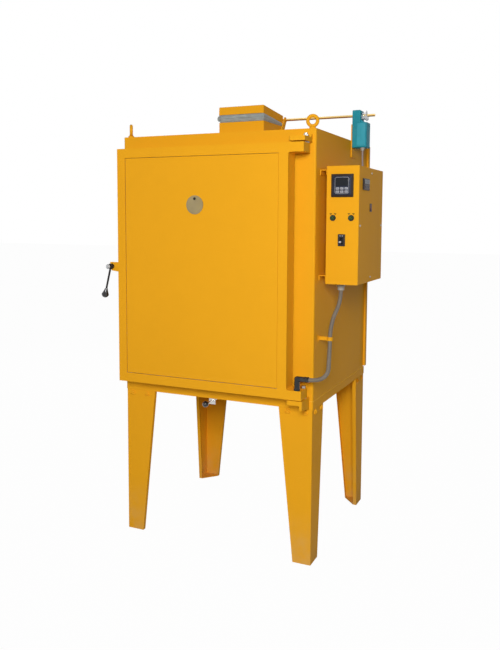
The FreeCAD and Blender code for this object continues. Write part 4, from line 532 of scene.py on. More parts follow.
finish = {
    "paint": makePaint("kilnPaint", (0.815, 0.375, 0.014)),
    # paler than the kiln's paint: a painted highlight for the bead along the tray's joint
    "beadHighlightPaint": makePaint("beadHighlightPaint", (0.90, 0.50, 0.05), 0.5),
    "eyePaint": makePaint("eyePaint", (0.80, 0.37, 0.016), 0.42),
    "sheet": makeMetal("bareSheet", (0.60, 0.59, 0.57), 0.36),
    "zinc": makeMetal("zincPlate", (0.42, 0.41, 0.38), 0.32, 120.0),
    "chrome": makeMetal("brightSteel", (0.40, 0.41, 0.42), 0.22, 150.0),
    "yellowRod": makeMetal("yellowRod", (0.74, 0.52, 0.20), 0.24, 150.0),
    "blackSteel": makePlastic("blackSteel", (0.022, 0.021, 0.02), 0.4, 700.0),
    "knob": makePlastic("glossKnob", (0.012, 0.011, 0.011), 0.14, 300.0, 0.00005, 0.8),
    "elbow": makePlastic("blackElbow", (0.014, 0.014, 0.015), 0.2, 500.0, 0.00008, 0.5),
    "blackPlastic": makePlastic("blackMoulding", (0.03, 0.03, 0.032), 0.42),
    "bezel": makePlastic("bezelMoulding", (0.030, 0.020, 0.014), 0.4),
    "limitPlate": makePlastic("limitPlate", (0.075, 0.045, 0.04), 0.4, 1500.0, 0.00003),
    "greyFoil": makePlastic("greyFoil", (0.022, 0.026, 0.045), 0.3, 1500.0, 0.00003),
    "keys": makePlastic("keyPads", (0.33, 0.34, 0.38), 0.45, 1500.0, 0.00004),
    "marks": makePlastic("printedMarks", (0.45, 0.45, 0.47), 0.5, 1500.0, 0.00002),
    "darkKeyMarks": makePlastic("keyMarks", (0.07, 0.075, 0.09), 0.5, 1500.0, 0.00002),
    "darkMarks": makePlastic("darkMarks", (0.035, 0.020, 0.008), 0.5, 1500.0, 0.00002),
    "display": makeGlass("displayWindow", (0.012, 0.014, 0.018)),
    "green": makePlastic("selectorGreen", (0.035, 0.075, 0.028), 0.28),
    "red": makePlastic("rockerRed", (0.16, 0.018, 0.010), 0.35, 900.0, 0.00006),
    "switchWhite": makePlastic("switchgearMoulding", (0.66, 0.64, 0.58), 0.45),
    "teal": makePlastic("actuatorTeal", (0.016, 0.25, 0.32), 0.5, 350.0, 0.0004),
    "tealCover": makePlastic("actuatorCover", (0.040, 0.33, 0.42), 0.5, 350.0, 0.0004),
    "cable": makePlastic("cableJacket", (0.30, 0.25, 0.24), 0.5, 800.0),
    "conduit": makePlastic("conduitJacket", (0.21, 0.18, 0.145), 0.42, 900.0),
    "clip": makePlastic("clipGrey", (0.36, 0.34, 0.30), 0.4),
    "sideBrick": makeBrick("sideBricks", (("Y", 0.02), ("Z", -0.88))),
    "rearBrick": makeBrick("rearBricks", (("X", 0.11), ("Z", -0.88))),
    "floorBrick": makeBrick("floorBricks", (("X", 0.05), ("Y", 0.03))),
    "flueBrick": makeBrick("flueTube", (("X", 0.3), ("Z", -0.2)), (0.74, 0.66, 0.52)),
    "shelf": makeBrick("shelfWash", (("X", 5.2), ("Y", 5.1)), (0.50, 0.43, 0.33)),
    "board": makeFibre("backingBoard", (0.62, 0.60, 0.55), 45.0, 0.0006, 0.8),
    "padFibre": makeFibre("padFibre", (0.36, 0.40, 0.39), 30.0, 0.0022, 0.62),
    "braid": makeBraid("gasketBraid", (0.55, 0.53, 0.47)),
    "porcelain": makePlastic("firedPorcelain", (0.80, 0.77, 0.68), 0.5, 500.0),
    "wire": makeWire("heatingWire"),
    "cover": makeCover("coverDisc"),
}

nodeFinish = {
    "paint": ("base_tray", "case_wrap", "rear_cover", "legs", "vent_collar", "vent_lid", "side_brackets",
              "control_box", "control_box_cover", "hinge_brackets", "latch_keeper", "door_frame",
              "door_panel"),
    "eyePaint": ("lifting_eyes", "case_screws"),
    "sheet": ("rear_panel", "slide_guides", "inlet_slide"),
    "zinc": ("power_nipple", "hinge_pins"),
    "chrome": ("shaft_clamp",),
    "yellowRod": ("vent_rod",),
    "blackSteel": ("latch_lever", "peephole_screw"),
    "knob": ("latch_knob", "inlet_knob"),
    "elbow": ("conduit_elbow",),
    "clip": ("cable_glands",),
    "blackPlastic": ("selector_bodies", "breaker", "rocker_frame", "breaker_toggle"),
    "bezel": ("controller", "limit_controller"),
    "green": ("selector_left", "selector_right"),
    "red": ("rocker",),
    "switchWhite": ("switchgear",),
    "teal": ("actuator",),
    "cable": ("actuator_cable",),
    "conduit": ("door_conduit",),
    "sideBrick": ("lining_sides",),
    "rearBrick": ("lining_rear", "door_plug"),
    "floorBrick": ("lining_roof", "lining_floor"),
    "flueBrick": ("flue_tube",),
    "board": ("backup_boards", "vent_lid_board", "door_board"),
    "padFibre": ("vent_pad",),
    "braid": ("door_gasket",),
    "porcelain": ("tail_porcelains", "thermocouples", "peephole_tube"),
    "shelf": ("hearth_plate", "hearth_posts"),
    "wire": ("wall_elements", "element_door"),
    "cover": ("peephole_cover",),
}
for look, names in nodeFinish.items():
    for name in names:
        nodes[name].data.materials.clear()
        nodes[name].data.materials.append(finish[look])
print("materials made:", len(finish))


# conduit from the door to the control box, ribbed, along the same route as its solid
# its elbow, clip and gland are places out from the case's right side, back from its front and up

conduit = {"radius": 0.009, "rib": 0.0045, "ribDepth": 0.0011, "ringsPerRib": 6, "sides": 20,
           "bendShare": 0.3, "out": 0.066, "inside": 0.014, "elbow": (0.010, -0.081, 0.846),
           "clip": (0.050, 0.070, 1.000), "gland": (0.080, 0.121)}


def conduitRoute():
    # shares of the way out, back and up from the elbow to the clip, then from the clip to the gland
    corner = np.array([rightX, frontY, 0])
    elbow, clip = corner + conduit["elbow"], corner + conduit["clip"]
    gland = corner + (*conduit["gland"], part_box("door_conduit")[1].z)
    points = [elbow - (conduit["inside"], 0, 0)]
    way = np.array([conduit["out"], *(clip - elbow)[1:]])
    for share in ((0.33, 0, 0), (0.79, 0.12, 0.04), (1, 0.34, 0.16), (0.85, 0.6, 0.39), (0.68, 0.85, 0.57)):
        points.append(elbow + share * way)
    points.append(clip - (0, 0, way[2] * 0.18))
    for share in ((0, 0, 0.14), (0.2, 0.47, 0.43), (0.7, 0.8, 0.61), (1, 1, 0.82), (1, 1, 1)):
        points.append(clip + share * (gland - clip))
    return points


def makeConduit():
    # radius along the line: the outer radius less half a rib depth, plus a cosine of one wave per rib
    line, along = evenly(routeLine(conduitRoute()), conduit["rib"] / conduit["ringsPerRib"])
    wave = np.cos(2 * np.pi * along / conduit["rib"])
    radius = conduit["radius"] - conduit["ribDepth"] / 2 * (1 - wave)
    piece = tubeAlong("ribbedConduit", line, radius, (-1, 1, 0), conduit["sides"])
    piece.data.materials.append(finish["conduit"])
    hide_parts("door_conduit")
    # the bend lies in the slack below the clip, so that the conduit clears the case's side as the door opens
    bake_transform(piece)


makeConduit()


# cable from the actuator to the control box: straight down, leaning forward, then a bend into its gland

cable = {"radius": 0.004, "run": 0.022, "out": 0.055, "back": 0.518, "step": 0.002, "sides": 18}


def cableRoute():
    low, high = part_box("actuator_cable")
    x, y = rightX + cable["out"], frontY + cable["back"]
    run = cable["run"]
    top, end = high.z, low.y
    lowZ = low.z + cable["radius"]
    bendY = end + run * (1 + math.sqrt(3) / 2 + 0.5)
    bendZ = lowZ + run * (0.5 + math.sqrt(3) / 2)
    fall = top - bendZ
    return [(x, y, top), (x, y, top - fall * 0.23), (x + 0.002, (y + bendY) / 2, top - fall * 0.55),
            (x + 0.001, bendY + 0.001, top - fall * 0.78), (x, bendY, bendZ),
            (x, bendY - run / 2, bendZ - run * math.sqrt(3) / 2), (x, end + run, lowZ), (x, end, lowZ)]


def makeCable():
    line = evenly(routeLine(cableRoute()), cable["step"])[0]
    piece = tubeAlong("actuatorLead", line, cable["radius"], (1, 0, 0), cable["sides"])
    finished(piece, "cable", "cabinet", "cable_grey", "actuator_cable")


makeCable()
print("conduit and cable made")


# heating coils in the grooves of the walls and the door plug

coil = {"radius": 0.0068, "wire": 0.0011, "pitch": 0.0085, "turnPoints": 9, "wireSides": 4, "runs": 6,
        "bend": 0.012, "taper": 0.02, "inset": 0.007, "rearDepth": 0.0147, "rearHalf": 0.250,
        "rearGap": 0.040, "frontGap": 0.085}


def softCorners(corners, bend):
    # straight runs with a quarter circle at every corner
    line = [corners[0][None]]
    for before, here, after in zip(corners, corners[1:], corners[2:]):
        a, b = unit(before - here), unit(after - here)
        turn = np.linspace(0, np.pi / 2, 8)[:, None]
        line.append(here + (a + b) * bend - bend * (b * np.cos(turn) + a * np.sin(turn)))
    return np.concatenate(line + [corners[-1][None]])


def makeCoil(name, corners, normal, body, node, plainEnds=0.0):
    # helix about the line of the groove: line + r (cos t * normal + sin t * side), whose radius
    # shrinks to a straight lead at both ends
    path = softCorners(np.array(corners, float), coil["bend"])
    centre, along = evenly(path, coil["pitch"] / coil["turnPoints"])
    tangent = unit(np.gradient(centre, axis=0))
    normal = np.array(normal, float)
    turn = (2 * np.pi * along / coil["pitch"])[:, None]
    fromEnd = np.minimum(along, along[-1] - along) - plainEnds
    share = np.clip(fromEnd / coil["taper"], 0, 1)[:, None]
    radius = (coil["radius"] - coil["wire"]) * share * share * (3 - 2 * share)
    line = centre + radius * (np.cos(turn) * normal + np.sin(turn) * np.cross(tangent, normal))
    piece = tubeAlong(name, line, coil["wire"], tangent + 0.2 * normal, coil["wireSides"])
    finished(piece, "wire", body, "heater_wire", node)


def serpentine(near, far, heights):
    # corners of level runs, one above the other, that turn back at either end
    ends = [(near, far), (far, near)]
    return [(across, z) for k, z in enumerate(heights) for across in ends[k % 2]]


def makeCoils():
    low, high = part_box("lining_sides")
    step = (high.z - low.z) / coil["runs"]
    heights = [low.z + step * (k + 0.5) for k in range(coil["runs"])]
    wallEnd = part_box("wall_elements")[1]
    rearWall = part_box("lining_rear")[0].y               # chamber face of the rear wall
    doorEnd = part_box("element_door")[1]
    reach = wallEnd.x - coil["inset"] - middleX         # from the middle to the right wall's coil
    for name, side in (("coilRight", reach), ("coilLeft", -reach)):
        level = serpentine(rearWall - coil["rearGap"], frontY + coil["frontGap"], heights)
        level[0] = (wallEnd.y - 0.002, heights[0])      # the two tails pass through the rear wall
        level[-1] = (wallEnd.y - 0.002, heights[-1])
        corners = [(middleX + side, y, z) for y, z in level]
        makeCoil(name, corners, (1, 0, 0), "cabinet", "wall_elements", wallEnd.y - rearWall)
    rear = rearWall + coil["rearDepth"], middleX - coil["rearHalf"], "cabinet", "wall_elements"
    door = doorEnd.y - coil["inset"], doorEnd.x - coil["inset"], "door", "element_door"
    for name, (y, near, body, node) in (("coilRear", rear), ("coilDoor", door)):
        corners = [(x, y, z) for x, z in serpentine(near, 2 * middleX - near, heights)]
        makeCoil(name, corners, (0, 1, 0), body, node)


makeCoils()
print("heating coils made")


# eye bolts: smooth ring, flared neck and collar over each eye's solid

eyes = {"ring": 0.021, "bar": 0.0075, "collar": 0.014, "collarHeight": 0.008, "firstTurn": 0.94}


def revolved(name, profile, centre, axis="Z", sides=32):
    # profile (radius, height) turned about the X or Z axis through the centre
    radius, height = np.array(profile, float).T[..., None]
    turn = fullTurn(sides)
    points = np.stack([radius * np.cos(turn), radius * np.sin(turn), height + 0 * turn], -1)
    order = [0, 1, 2] if axis == "Z" else [2, 0, 1]
    return gridPiece(name, points[..., order] + np.array(centre))


def makeEyes():
    pieces = []
    roof = caseHigh.z
    r, c, h, b = (eyes[key] for key in ("ring", "collar", "collarHeight", "bar"))
    for k, points in enumerate(islands("lifting_eyes")):
        place = (*(points[:, :2].min(0) + points[:, :2].max(0)) / 2, roof)
        ringPoints = points[points[:, 2] > roof + 0.020]
        centre = (ringPoints.min(0) + ringPoints.max(0)) / 2
        centre[2] = ringPoints[:, 2].max() - r - b
        flat = ringPoints[:, :2] - centre[:2]
        values, vectors = np.linalg.eigh(flat.T @ flat)
        along = np.array([*vectors[:, values.argmax()], 0])   # horizontal direction in the ring's plane
        if place[0] < middleX and place[1] < middleY:         # this one shows its edge to the camera
            along = np.array(Matrix.Rotation(eyes["firstTurn"], 3, "Z")) @ along
        turn = fullTurn(48)[:, None]
        path = centre + r * (np.cos(turn) * along + np.sin(turn) * up)
        top = centre[2] - r + b * 0.5 - roof
        profile = [(0, 0), (c, 0), (c, h * 0.75), (c - 0.001, h - 0.0005), (c - 0.0025, h),
                   (b + 0.003, h + 0.0006), (b + 0.0015, h + 0.002), (b + 0.0012, top * 0.7), (b, top),
                   (b * 0.6, top + 0.001), (0, top + 0.001)]
        pieces += [tubeAlong("eyeRing%d" % k, path, b, np.cross(along, up), 18, True),
                   revolved("eyeNeck%d" % k, profile, place)]
    finished(faceOut(joined("eyeBolts", pieces)), "eyePaint", "cabinet", "eye_paint", "lifting_eyes")


makeEyes()


# screws: hexagon heads with washers on the legs and the rear, pan heads with a cross on the box

screws = {"washer": 1.28, "recess": 0.42, "recessWidth": 0.14, "recessDepth": 0.55, "sides": 48, "rings": 13,
          "hexShare": 0.95, "leastHeight": 0.002}


def panHead(radius, height):
    # dome with a cross sunk in it: height (1 - r^2.6) less the cross's depth where either arm passes
    share = np.concatenate([[0.001], np.linspace(0.06, 1, screws["rings"])])[:, None]
    x, y = share * np.cos(fullTurn(screws["sides"])), share * np.sin(fullTurn(screws["sides"]))
    reach, wide = screws["recess"], screws["recessWidth"]
    arms = ((abs(x) < wide) & (abs(y) < reach)) | ((abs(y) < wide) & (abs(x) < reach))
    z = height * (0.45 + 0.55 * (1 - share ** 2.6)) - height * screws["recessDepth"] * arms
    grid = np.stack([x * radius, y * radius, z], -1)
    return np.concatenate([grid, grid[-1:] * (1, 1, 0)])


def hexHead(radius, height):
    # washer, then six flats whose corners are cut by a cone, then the flat top
    turn = fullTurn(screws["sides"])
    x, y = np.cos(turn), np.sin(turn)
    flat = radius * 0.866
    hexagon = flat / np.cos((turn % (np.pi / 3)) - np.pi / 6)
    washer = radius * screws["washer"]
    rings = [(0.0002, 1), (flat * 0.9, 1), (np.minimum(hexagon, flat * 1.02), 0.97), (hexagon, 0.82),
             (hexagon, 0.25), (washer, 0.25), (washer, 0)]
    return np.stack([np.stack([r * x, r * y, 0 * turn + z * height], -1) for r, z in rings])


def facingFront(grid):
    # a head made facing up, turned to face the front
    return grid[..., [0, 2, 1]] * (1, -1, 1)


def makeScrews():
    bolts, pans = [], []
    for k, points in enumerate(islands("case_screws")):
        low, high = points.min(0), points.max(0)
        size, centre = high - low, (low + high) / 2
        # along the screw lies the one measure that differs from the other two, or else the smallest
        odd = abs(size - np.median(size)) > 1e-5
        axis = int(odd.argmax() if len(set(size.round(5))) == 2 else size.argmin())
        across = [i for i in range(3) if i != axis]
        sign = 1 if centre[axis] > (middleX, middleY, 0)[axis] else -1
        radius = size[across].max() / 2
        rim = points[abs(points[:, across] - centre[across]).max(1) > radius * 0.8][:, axis]
        inner, outer = (rim.min(), rim.max())[::sign]
        height = max(abs(outer - inner), screws["leastHeight"])
        onBox = centre[0] > boxHigh.x - 0.002
        grid = panHead(radius, height) if onBox else hexHead(radius * screws["hexShare"], height)
        order = ([2, 0, 1], [1, 2, 0], [0, 1, 2])[axis]
        centre[axis] = inner
        piece = gridPiece("screw%d" % k, (grid * (sign, 1, sign))[..., order] + centre)
        (pans if onBox else bolts).append(piece)
    finished(faceOut(joined("paintedBolts", bolts)), "eyePaint", "cabinet", "yellow_paint", "case_screws")
    finished(faceOut(joined("coverScrews", pans)), "zinc", "cabinet", "zinc", "case_screws")
    print("screws:", len(bolts), "bolts,", len(pans), "pan heads")


makeScrews()


# flat shapes with rounded corners, for faces, outlines and keys

def roundedLoop(width, height, corner, steps=8):
    # corner arcs of a rectangle about its middle, anticlockwise
    loop = []
    for k, (sx, sy) in enumerate(((1, 1), (-1, 1), (-1, -1), (1, -1))):
        a = np.linspace(0, np.pi / 2, steps) + k * np.pi / 2
        middle = np.array([sx * (width / 2 - corner), sy * (height / 2 - corner)])
        loop.append(middle + corner * np.stack([np.cos(a), np.sin(a)], -1))
    return np.concatenate(loop)


def laidOn(face, points):
    # flat points (across, up, out) to a face: its middle and the directions across and out of it
    middle, across, out = (np.array(v, float) for v in face)
    return middle + points[..., :1] * across + points[..., 1:2] * up + points[..., 2:] * out


def frontFace(node, lift=0.0):
    # face that lies a little before a node's front
    low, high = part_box(node)
    return ((low.x + high.x) / 2, low.y - lift, (low.z + high.z) / 2), (1, 0, 0), (0, -1, 0)


def pad(name, face, width, height, corner, thick, place=(0, 0), crown=0.35):
    # low rounded plate: its wall, a rounded shoulder and a gently crowned top
    layers = [(1.0, 0.0), (1.0, 0.55), (0.97, 0.85), (0.90, 1.0),
              (0.55, 1.0 + crown * 0.6), (0.02, 1.0 + crown)]
    loop = roundedLoop(width, height, corner)
    shrink = min(width, height) / 2
    rings = []
    for share, level in layers:
        move = loop * (1 - (1 - share) * shrink / np.array([width / 2, height / 2]))
        rings.append(np.column_stack([move + np.array(place), np.full(len(loop), level * thick)]))
    return gridPiece(name, laidOn(face, np.array(rings)))


def outline(name, face, width, height, corner, line, lift):
    loop = roundedLoop(width, height, corner, 10)
    path = laidOn(face, np.column_stack([loop, np.full(len(loop), lift)]))
    return tubeAlong(name, path, line, np.array(face[2], float), 8, True)


# square controller: foil, light outline, dark window, six keys with their marks

controllerFace = {"foil": 0.080, "ring": (0.060, 0.068), "window": (0.055, 0.032), "windowUp": 0.014,
                  "key": (0.0150, 0.0105), "keyStep": (0.0188, 0.0135), "keyLow": -0.026, "outline": 0.0007,
                  "mark": (0.0065, 0.0012), "lamp": (0.0022, 0.0011), "lampStep": 0.0045, "lampUp": 0.0325}


def makeControllerFace():
    f = controllerFace
    face = frontFace("controller", 0.0002)
    foil = pad("controllerFoil", face, f["foil"], f["foil"], 0.004, 0.0016, crown=0.0)
    window = pad("controllerWindow", face, *f["window"], 0.003, 0.0024, (0, f["windowUp"]), 0.05)
    ring = outline("controllerOutline", face, *f["ring"], 0.008, f["outline"], 0.0018)
    keys, marks = [], []
    for k in range(6):
        place = ((k // 2 - 1) * f["keyStep"][0], f["keyLow"] + k % 2 * f["keyStep"][1])
        keys.append(pad("key%d" % k, face, *f["key"], 0.002, 0.0030, place, 0.2))
        marks.append(pad("keyMark%d" % k, face, *f["mark"], 0.0005, 0.0040, place, 0.0))
    for k in range(4):
        place = (0.012 + (k - 2) * f["lampStep"], f["lampUp"])
        marks.append(pad("lamp%d" % k, face, *f["lamp"], 0.0004, 0.0021, place, 0.0))
    finished(foil, "greyFoil", "cabinet", "control_face")
    finished(window, "display", "cabinet", "control_face")
    finished(ring, "marks", "cabinet", "white_plastic")
    finished(joined("controllerKeys", keys), "keys", "cabinet", "white_plastic")
    finished(joined("controllerMarks", marks), "darkKeyMarks", "cabinet", "black_plastic")


makeControllerFace()


# wide controller on the box's cover: dark window above, three keys below
# all but the keys' own size are shares of its width and height

limitFace = {"wide": 0.88, "window": 0.40, "windowUp": 0.21, "plate": 0.42, "low": -0.23, "keyStep": 0.25,
             "key": (0.013, 0.008)}


def makeLimitFace():
    f = limitFace
    low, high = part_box("limit_controller")
    face = (high.x + 0.0002, (low.y + high.y) / 2, (low.z + high.z) / 2), (0, 1, 0), (1, 0, 0)
    width, height = high.y - low.y, high.z - low.z
    wide, lowDown = width * f["wide"], height * f["low"]
    windowUp = height * f["windowUp"]
    window = pad("limitWindow", face, wide, height * f["window"], 0.003, 0.0012, (0, windowUp), 0.05)
    plate = pad("limitPlate", face, wide, height * f["plate"], 0.003, 0.0010, (0, lowDown), 0.05)
    keys = []
    for k in range(3):
        place = (width * f["keyStep"] * (k - 1), lowDown)
        keys.append(pad("limitKey%d" % k, face, *f["key"], 0.002, 0.0020, place, 0.2))
    finished(window, "display", "cabinet", "control_face")
    finished(plate, "limitPlate", "cabinet", "control_face")
    finished(joined("limitKeys", keys), "greyFoil", "cabinet", "control_face")


makeLimitFace()


# marks over the selector switches and on the breaker, and the tip of its toggle

ticks = ((-0.0095, 0.0185, 0.010), (0.0095, 0.0185, 0.010),      # across, up and length of each tick
         (-0.0100, 0.0150, 0.006), (0.0100, 0.0150, 0.006))


def makeMarks():
    dark, pale = [], []
    for k, name in enumerate(("selector_left", "selector_right")):
        middle, across, out = frontFace(name)
        face = (middle[0], boxLow.y - 0.0001, middle[2]), across, out
        for j, (x, z, length) in enumerate(ticks):
            dark.append(pad("tick%d%d" % (k, j), face, length, 0.0024, 0.0006, 0.0003, (x, z), 0.0))
    low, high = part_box("breaker")
    face = frontFace("breaker", 0.0001)
    for j, x in enumerate((-0.005, 0.005)):
        place = (x, (high.z - low.z) * 0.36)
        pale.append(pad("breakerMark%d" % j, face, 0.006, 0.0028, 0.0006, 0.0004, place, 0.0))
    low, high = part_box("breaker_toggle")
    width, height = high.x - low.x, high.z - low.z
    face = frontFace("breaker_toggle", -0.0005)
    tip = pad("toggleTip", face, width * 0.9, height * 0.45, 0.0015, 0.0014, (0, -height * 0.12), 0.1)
    finished(joined("selectorTicks", dark), "darkMarks", "cabinet", "black_plastic")
    finished(joined("breakerMarks", pale), "marks", "cabinet", "white_plastic")
    finished(tip, "marks", "toggle", "white_plastic")


makeMarks()


# braided rope of the door: rounded square section along the rounded rectangle of its solid

rope = {"corner": 0.020, "inset": 0.010, "around": 28, "bulge": 0.0006, "step": 0.004, "wave": 0.012,
        "power": 0.32}


def makeRope():
    # section sign(cos a) |cos a|^power, sign(sin a) |sin a|^power, with a wave that winds along the rope
    low, high = (np.array(v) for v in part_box("door_gasket"))
    middle = (low + high) / 2
    reach = abs(islands("door_gasket")[0][:, 0] - middle[0])
    wide = reach.max() - reach.min() - rope["inset"]  # the solid's inner corners are nearest the middle
    width, _, height = high - low - 2 * rope["inset"] - wide
    loop = roundedLoop(width, height, rope["corner"], 14)
    path = np.column_stack([middle[0] + loop[:, 0], np.full(len(loop), middle[1]), middle[2] + loop[:, 1]])
    path, along = (part[:-1] for part in evenly(np.vstack([path, path[:1]]), rope["step"]))
    out = np.cross(unit(np.roll(path, -1, 0) - np.roll(path, 1, 0)), (0, 1.0, 0))
    a = fullTurn(rope["around"])
    half = np.array([wide, high[1] - low[1]]) / 2 - rope["bulge"]
    u, v = (np.sign(s) * abs(s) ** rope["power"] * h for s, h in zip((np.cos(a), np.sin(a)), half))
    wave = rope["bulge"] * np.cos(2 * np.pi * along[:, None] / rope["wave"] + 3 * a)
    scale = 1 + wave / (wide / 2)
    sideways, forward = (u * scale)[..., None], (v * scale)[..., None]
    rings = path[:, None] + sideways * out[:, None] + forward * np.array([0, 1.0, 0])
    around = np.cumsum(np.hypot(np.diff(u, append=u[0]), np.diff(v, append=v[0])))
    uv = np.stack(np.broadcast_arrays(along[:, None], around[None]), -1)
    piece = newMesh("braidedRope", rings, gridFaces(*rings.shape[:2], True), True, uv)
    finished(faceOut(piece), "braid", "door", "gasket_fibre", "door_gasket")


makeRope()


# fibre blanket between the collar and the lid: folded in two layers, rolled at its left edge

blanket = {"bulge": 0.0045, "crease": 0.0022, "rows": 60, "around": 96, "lump": 0.0012, "turns": 1.35,
           "layer": 0.0068, "overlap": 0.005}


def makeBlanket():
    # section across X at each Y: a box whose right side bulges as a half sine, less a crease between
    # the two layers that is a bell curve of the height
    b = blanket
    points = islands("vent_pad")[0]
    low, high = points.min(0), points.max(0)
    edge = points[abs(points[:, 0] - high[0]) < 0.001]
    front, rear = edge[:, 1].min(), edge[:, 1].max()
    tops = [edge[abs(edge[:, 1] - end) < 0.002][:, 2].max() - 0.0004 for end in (front, rear)]
    bottom, left, right = low[2], 2 * middleX - high[0] + b["overlap"], high[0]
    y = np.linspace(front, rear, b["rows"])
    top = np.interp(y, (front, rear), tops)
    t = np.linspace(0, 1, b["around"], endpoint=False)
    stops = (0, 0.3, 0.5, 0.8, 1.0)                    # bottom edge, right side, top edge, left side
    x = np.interp(t, stops, (left, right, right, left, left))
    z = np.interp(t, stops, (0, 0, 1, 1, 0))
    bulge = np.sin(np.pi * z) * b["bulge"] - b["crease"] * np.exp(-((z - 0.5) / 0.06) ** 2)
    x = x + np.where((t > 0.3) & (t < 0.5), bulge, 0)
    height = bottom + 0.0003 + z[None] * (top - bottom)[:, None]
    rings = np.stack(np.broadcast_arrays(x, y[:, None], height), -1)

    def closing(ring, direction):
        # bulged front or rear face, closed to its middle line
        middle = (ring.min(0) + ring.max(0)) / 2
        layers = []
        for share in (0.93, 0.8, 0.6, 0.35, 0.02):
            inner = middle + (ring - middle) * (0.985 + 0.015 * share, 0, share)
            inner[:, 1] = ring[:, 1] + direction * b["bulge"] * math.sqrt(1 - share * share)
            layers.append(inner)
        return layers

    rings = np.concatenate([closing(rings[0], -1)[::-1], rings, closing(rings[-1], 1)])
    x, y2, z = np.moveaxis(rings, -1, 0)
    wave = b["lump"] * (np.sin(x * 97 + 1) * np.sin(y2 * 83) + 0.5 * np.sin(x * 210 + y2 * 160))
    inside = (z > bottom + 0.004) & (z < z.max() - 0.003)
    rings[..., 1] += np.where((y2 < front + 0.002) & inside, wave, 0)
    pieces = [gridPiece("blanketBody", rings)]

    # roll: an Archimedes spiral seen from the front, thinner to the rear like the gap it fills
    a = np.linspace(0, 2 * np.pi * b["turns"], 64)
    radius = ((top - bottom) / 2)[:, None]
    outer = radius * (1 - 0.62 * a[None] / a.max())
    inner = np.maximum(outer - b["layer"] * radius / radius.max(), radius * 0.05)

    def spiral(r):
        x = np.minimum(left - r * np.sin(a), left + 0.004)
        return np.stack(np.broadcast_arrays(x, y[:, None], bottom + radius + r * np.cos(a)), -1)

    pieces.append(gridPiece("blanketRoll", np.concatenate([spiral(outer), spiral(inner)[:, ::-1]], 1)))
    for k in (0, -1):
        cap = np.stack([spiral(outer)[k], spiral(inner)[k]], 1)
        pieces.append(gridPiece("blanketEnd", cap, closeColumns=False))
    whole = faceOut(joined("fibreBlanket", pieces))
    finished(whole, "padFibre", "cabinet", "gasket_fibre", "vent_pad")


makeBlanket()


# sealing bead along the joint between the tray and the case, in a paint paler than the case's: a painted
# highlight along the joint

bead = {"radius": 0.0016, "wobble": 0.0003, "step": 0.006}


def makeBead():
    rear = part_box("rear_panel")[1].y
    corners = ((caseLow.x, rear), (caseLow.x, frontY), (caseHigh.x, frontY), (caseHigh.x, rear))
    line, along = evenly(np.array([(x, y, caseLow.z) for x, y in corners]), bead["step"])
    line[:, 2] += bead["wobble"] * np.sin(along * 210) * np.sin(along * 37)
    piece = tubeAlong("trayBeadHighlight", line, bead["radius"], (0, 0, 1), 8)
    finished(faceOut(piece), "beadHighlightPaint", "cabinet", "yellow_paint")


makeBead()


# V bolt of the rod's clamp, with its threads and nuts

clamp = {"bolt": 0.003, "thread": 0.00125, "threadDepth": 0.0003, "threadLength": 0.020, "nut": 0.0078,
         "nutHeight": 0.005, "nutUp": 0.008, "spread": 0.011, "leg": 0.024, "bend": 0.006, "in": 0.008}


def makeClamp():
    c = clamp
    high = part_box("shaft_clamp")[1]
    x = high.x - c["in"]
    y, z = sum(np.array(end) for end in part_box("vent_rod"))[1:] / 2
    foot, peak = z - c["leg"], high.z - c["bolt"]
    sides = (y - c["spread"], y + c["spread"])
    left, right = sides
    corners = np.array([(x, left, foot), (x, left, z), (x, y, peak), (x, right, z), (x, right, foot)])
    line = [corners[0][None]]
    for before, here, after in zip(corners, corners[1:], corners[2:]):   # a parabola rounds each corner
        p, q = here + unit(before - here) * c["bend"], here + unit(after - here) * c["bend"]
        t = np.linspace(0, 1, 9)[:, None]
        line.append((1 - t) ** 2 * p + 2 * t * (1 - t) * here + t * t * q)
    path, along = evenly(np.concatenate(line + [corners[-1][None]]), c["thread"] / 4)
    fromEnd = np.minimum(along, along[-1] - along)
    ridge = np.cos(2 * np.pi * along / c["thread"]) * c["threadDepth"] / 2 * (fromEnd < c["threadLength"])
    pieces = [tubeAlong("clampBolt", path, c["bolt"] - c["threadDepth"] / 2 + ridge, (1, 0, 0), 14)]
    for side in sides:
        nut = hexHead(c["nut"], c["nutHeight"]) * (1, 1, -1) + np.array([x, side, foot + c["nutUp"]])
        pieces.append(gridPiece("clampNut", nut))
    finished(faceOut(joined("clampBolt", pieces)), "chrome", "lid", "zinc")


makeClamp()


# cover on the actuator's front, held by four screws

cover = {"margin": 0.004, "edge": 0.003, "share": 0.56, "thick": 0.0016, "corner": 0.005, "screw": 0.0028,
         "screwIn": 0.006, "screwHeight": 0.0012}


def makeActuatorCover():
    c = cover
    low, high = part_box("actuator")
    points = islands("actuator")[0]
    top = points[points[:, 0] > high.x - 0.002][:, 2].max() - c["margin"]   # its wide part is the lower one
    bottom = low.z + c["margin"] + c["edge"]
    width = (high.x - low.x) * c["share"]
    middle = (high.x - c["margin"] - c["edge"] - width / 2, low.y + 0.0001, (bottom + top) / 2)
    face = (middle, (1, 0, 0), (0, -1, 0))
    plate = pad("coverPlate", face, width, top - bottom, c["corner"], c["thick"], crown=0.1)
    finished(faceOut(plate), "tealCover", "cabinet", "actuator_plastic")
    heads = []
    for sx, sz in ((1, 1), (1, -1), (-1, -1), (-1, 1)):
        move = (sx * (width / 2 - c["screwIn"]), -c["thick"] * 0.9, sz * ((top - bottom) / 2 - c["screwIn"]))
        head = facingFront(panHead(c["screw"], c["screwHeight"])) + np.array(middle) + move
        heads.append(gridPiece("coverHead", head))
    finished(faceOut(joined("actuatorScrews", heads)), "tealCover", "cabinet", "actuator_plastic")


makeActuatorCover()


# nut on the latch's hub, and ridged grip ring where the conduit enters the elbow

small = {"nut": (0.0085, 0.006), "grip": 0.0118, "groove": 0.0113, "ridges": 4, "ridgeStep": 0.002}


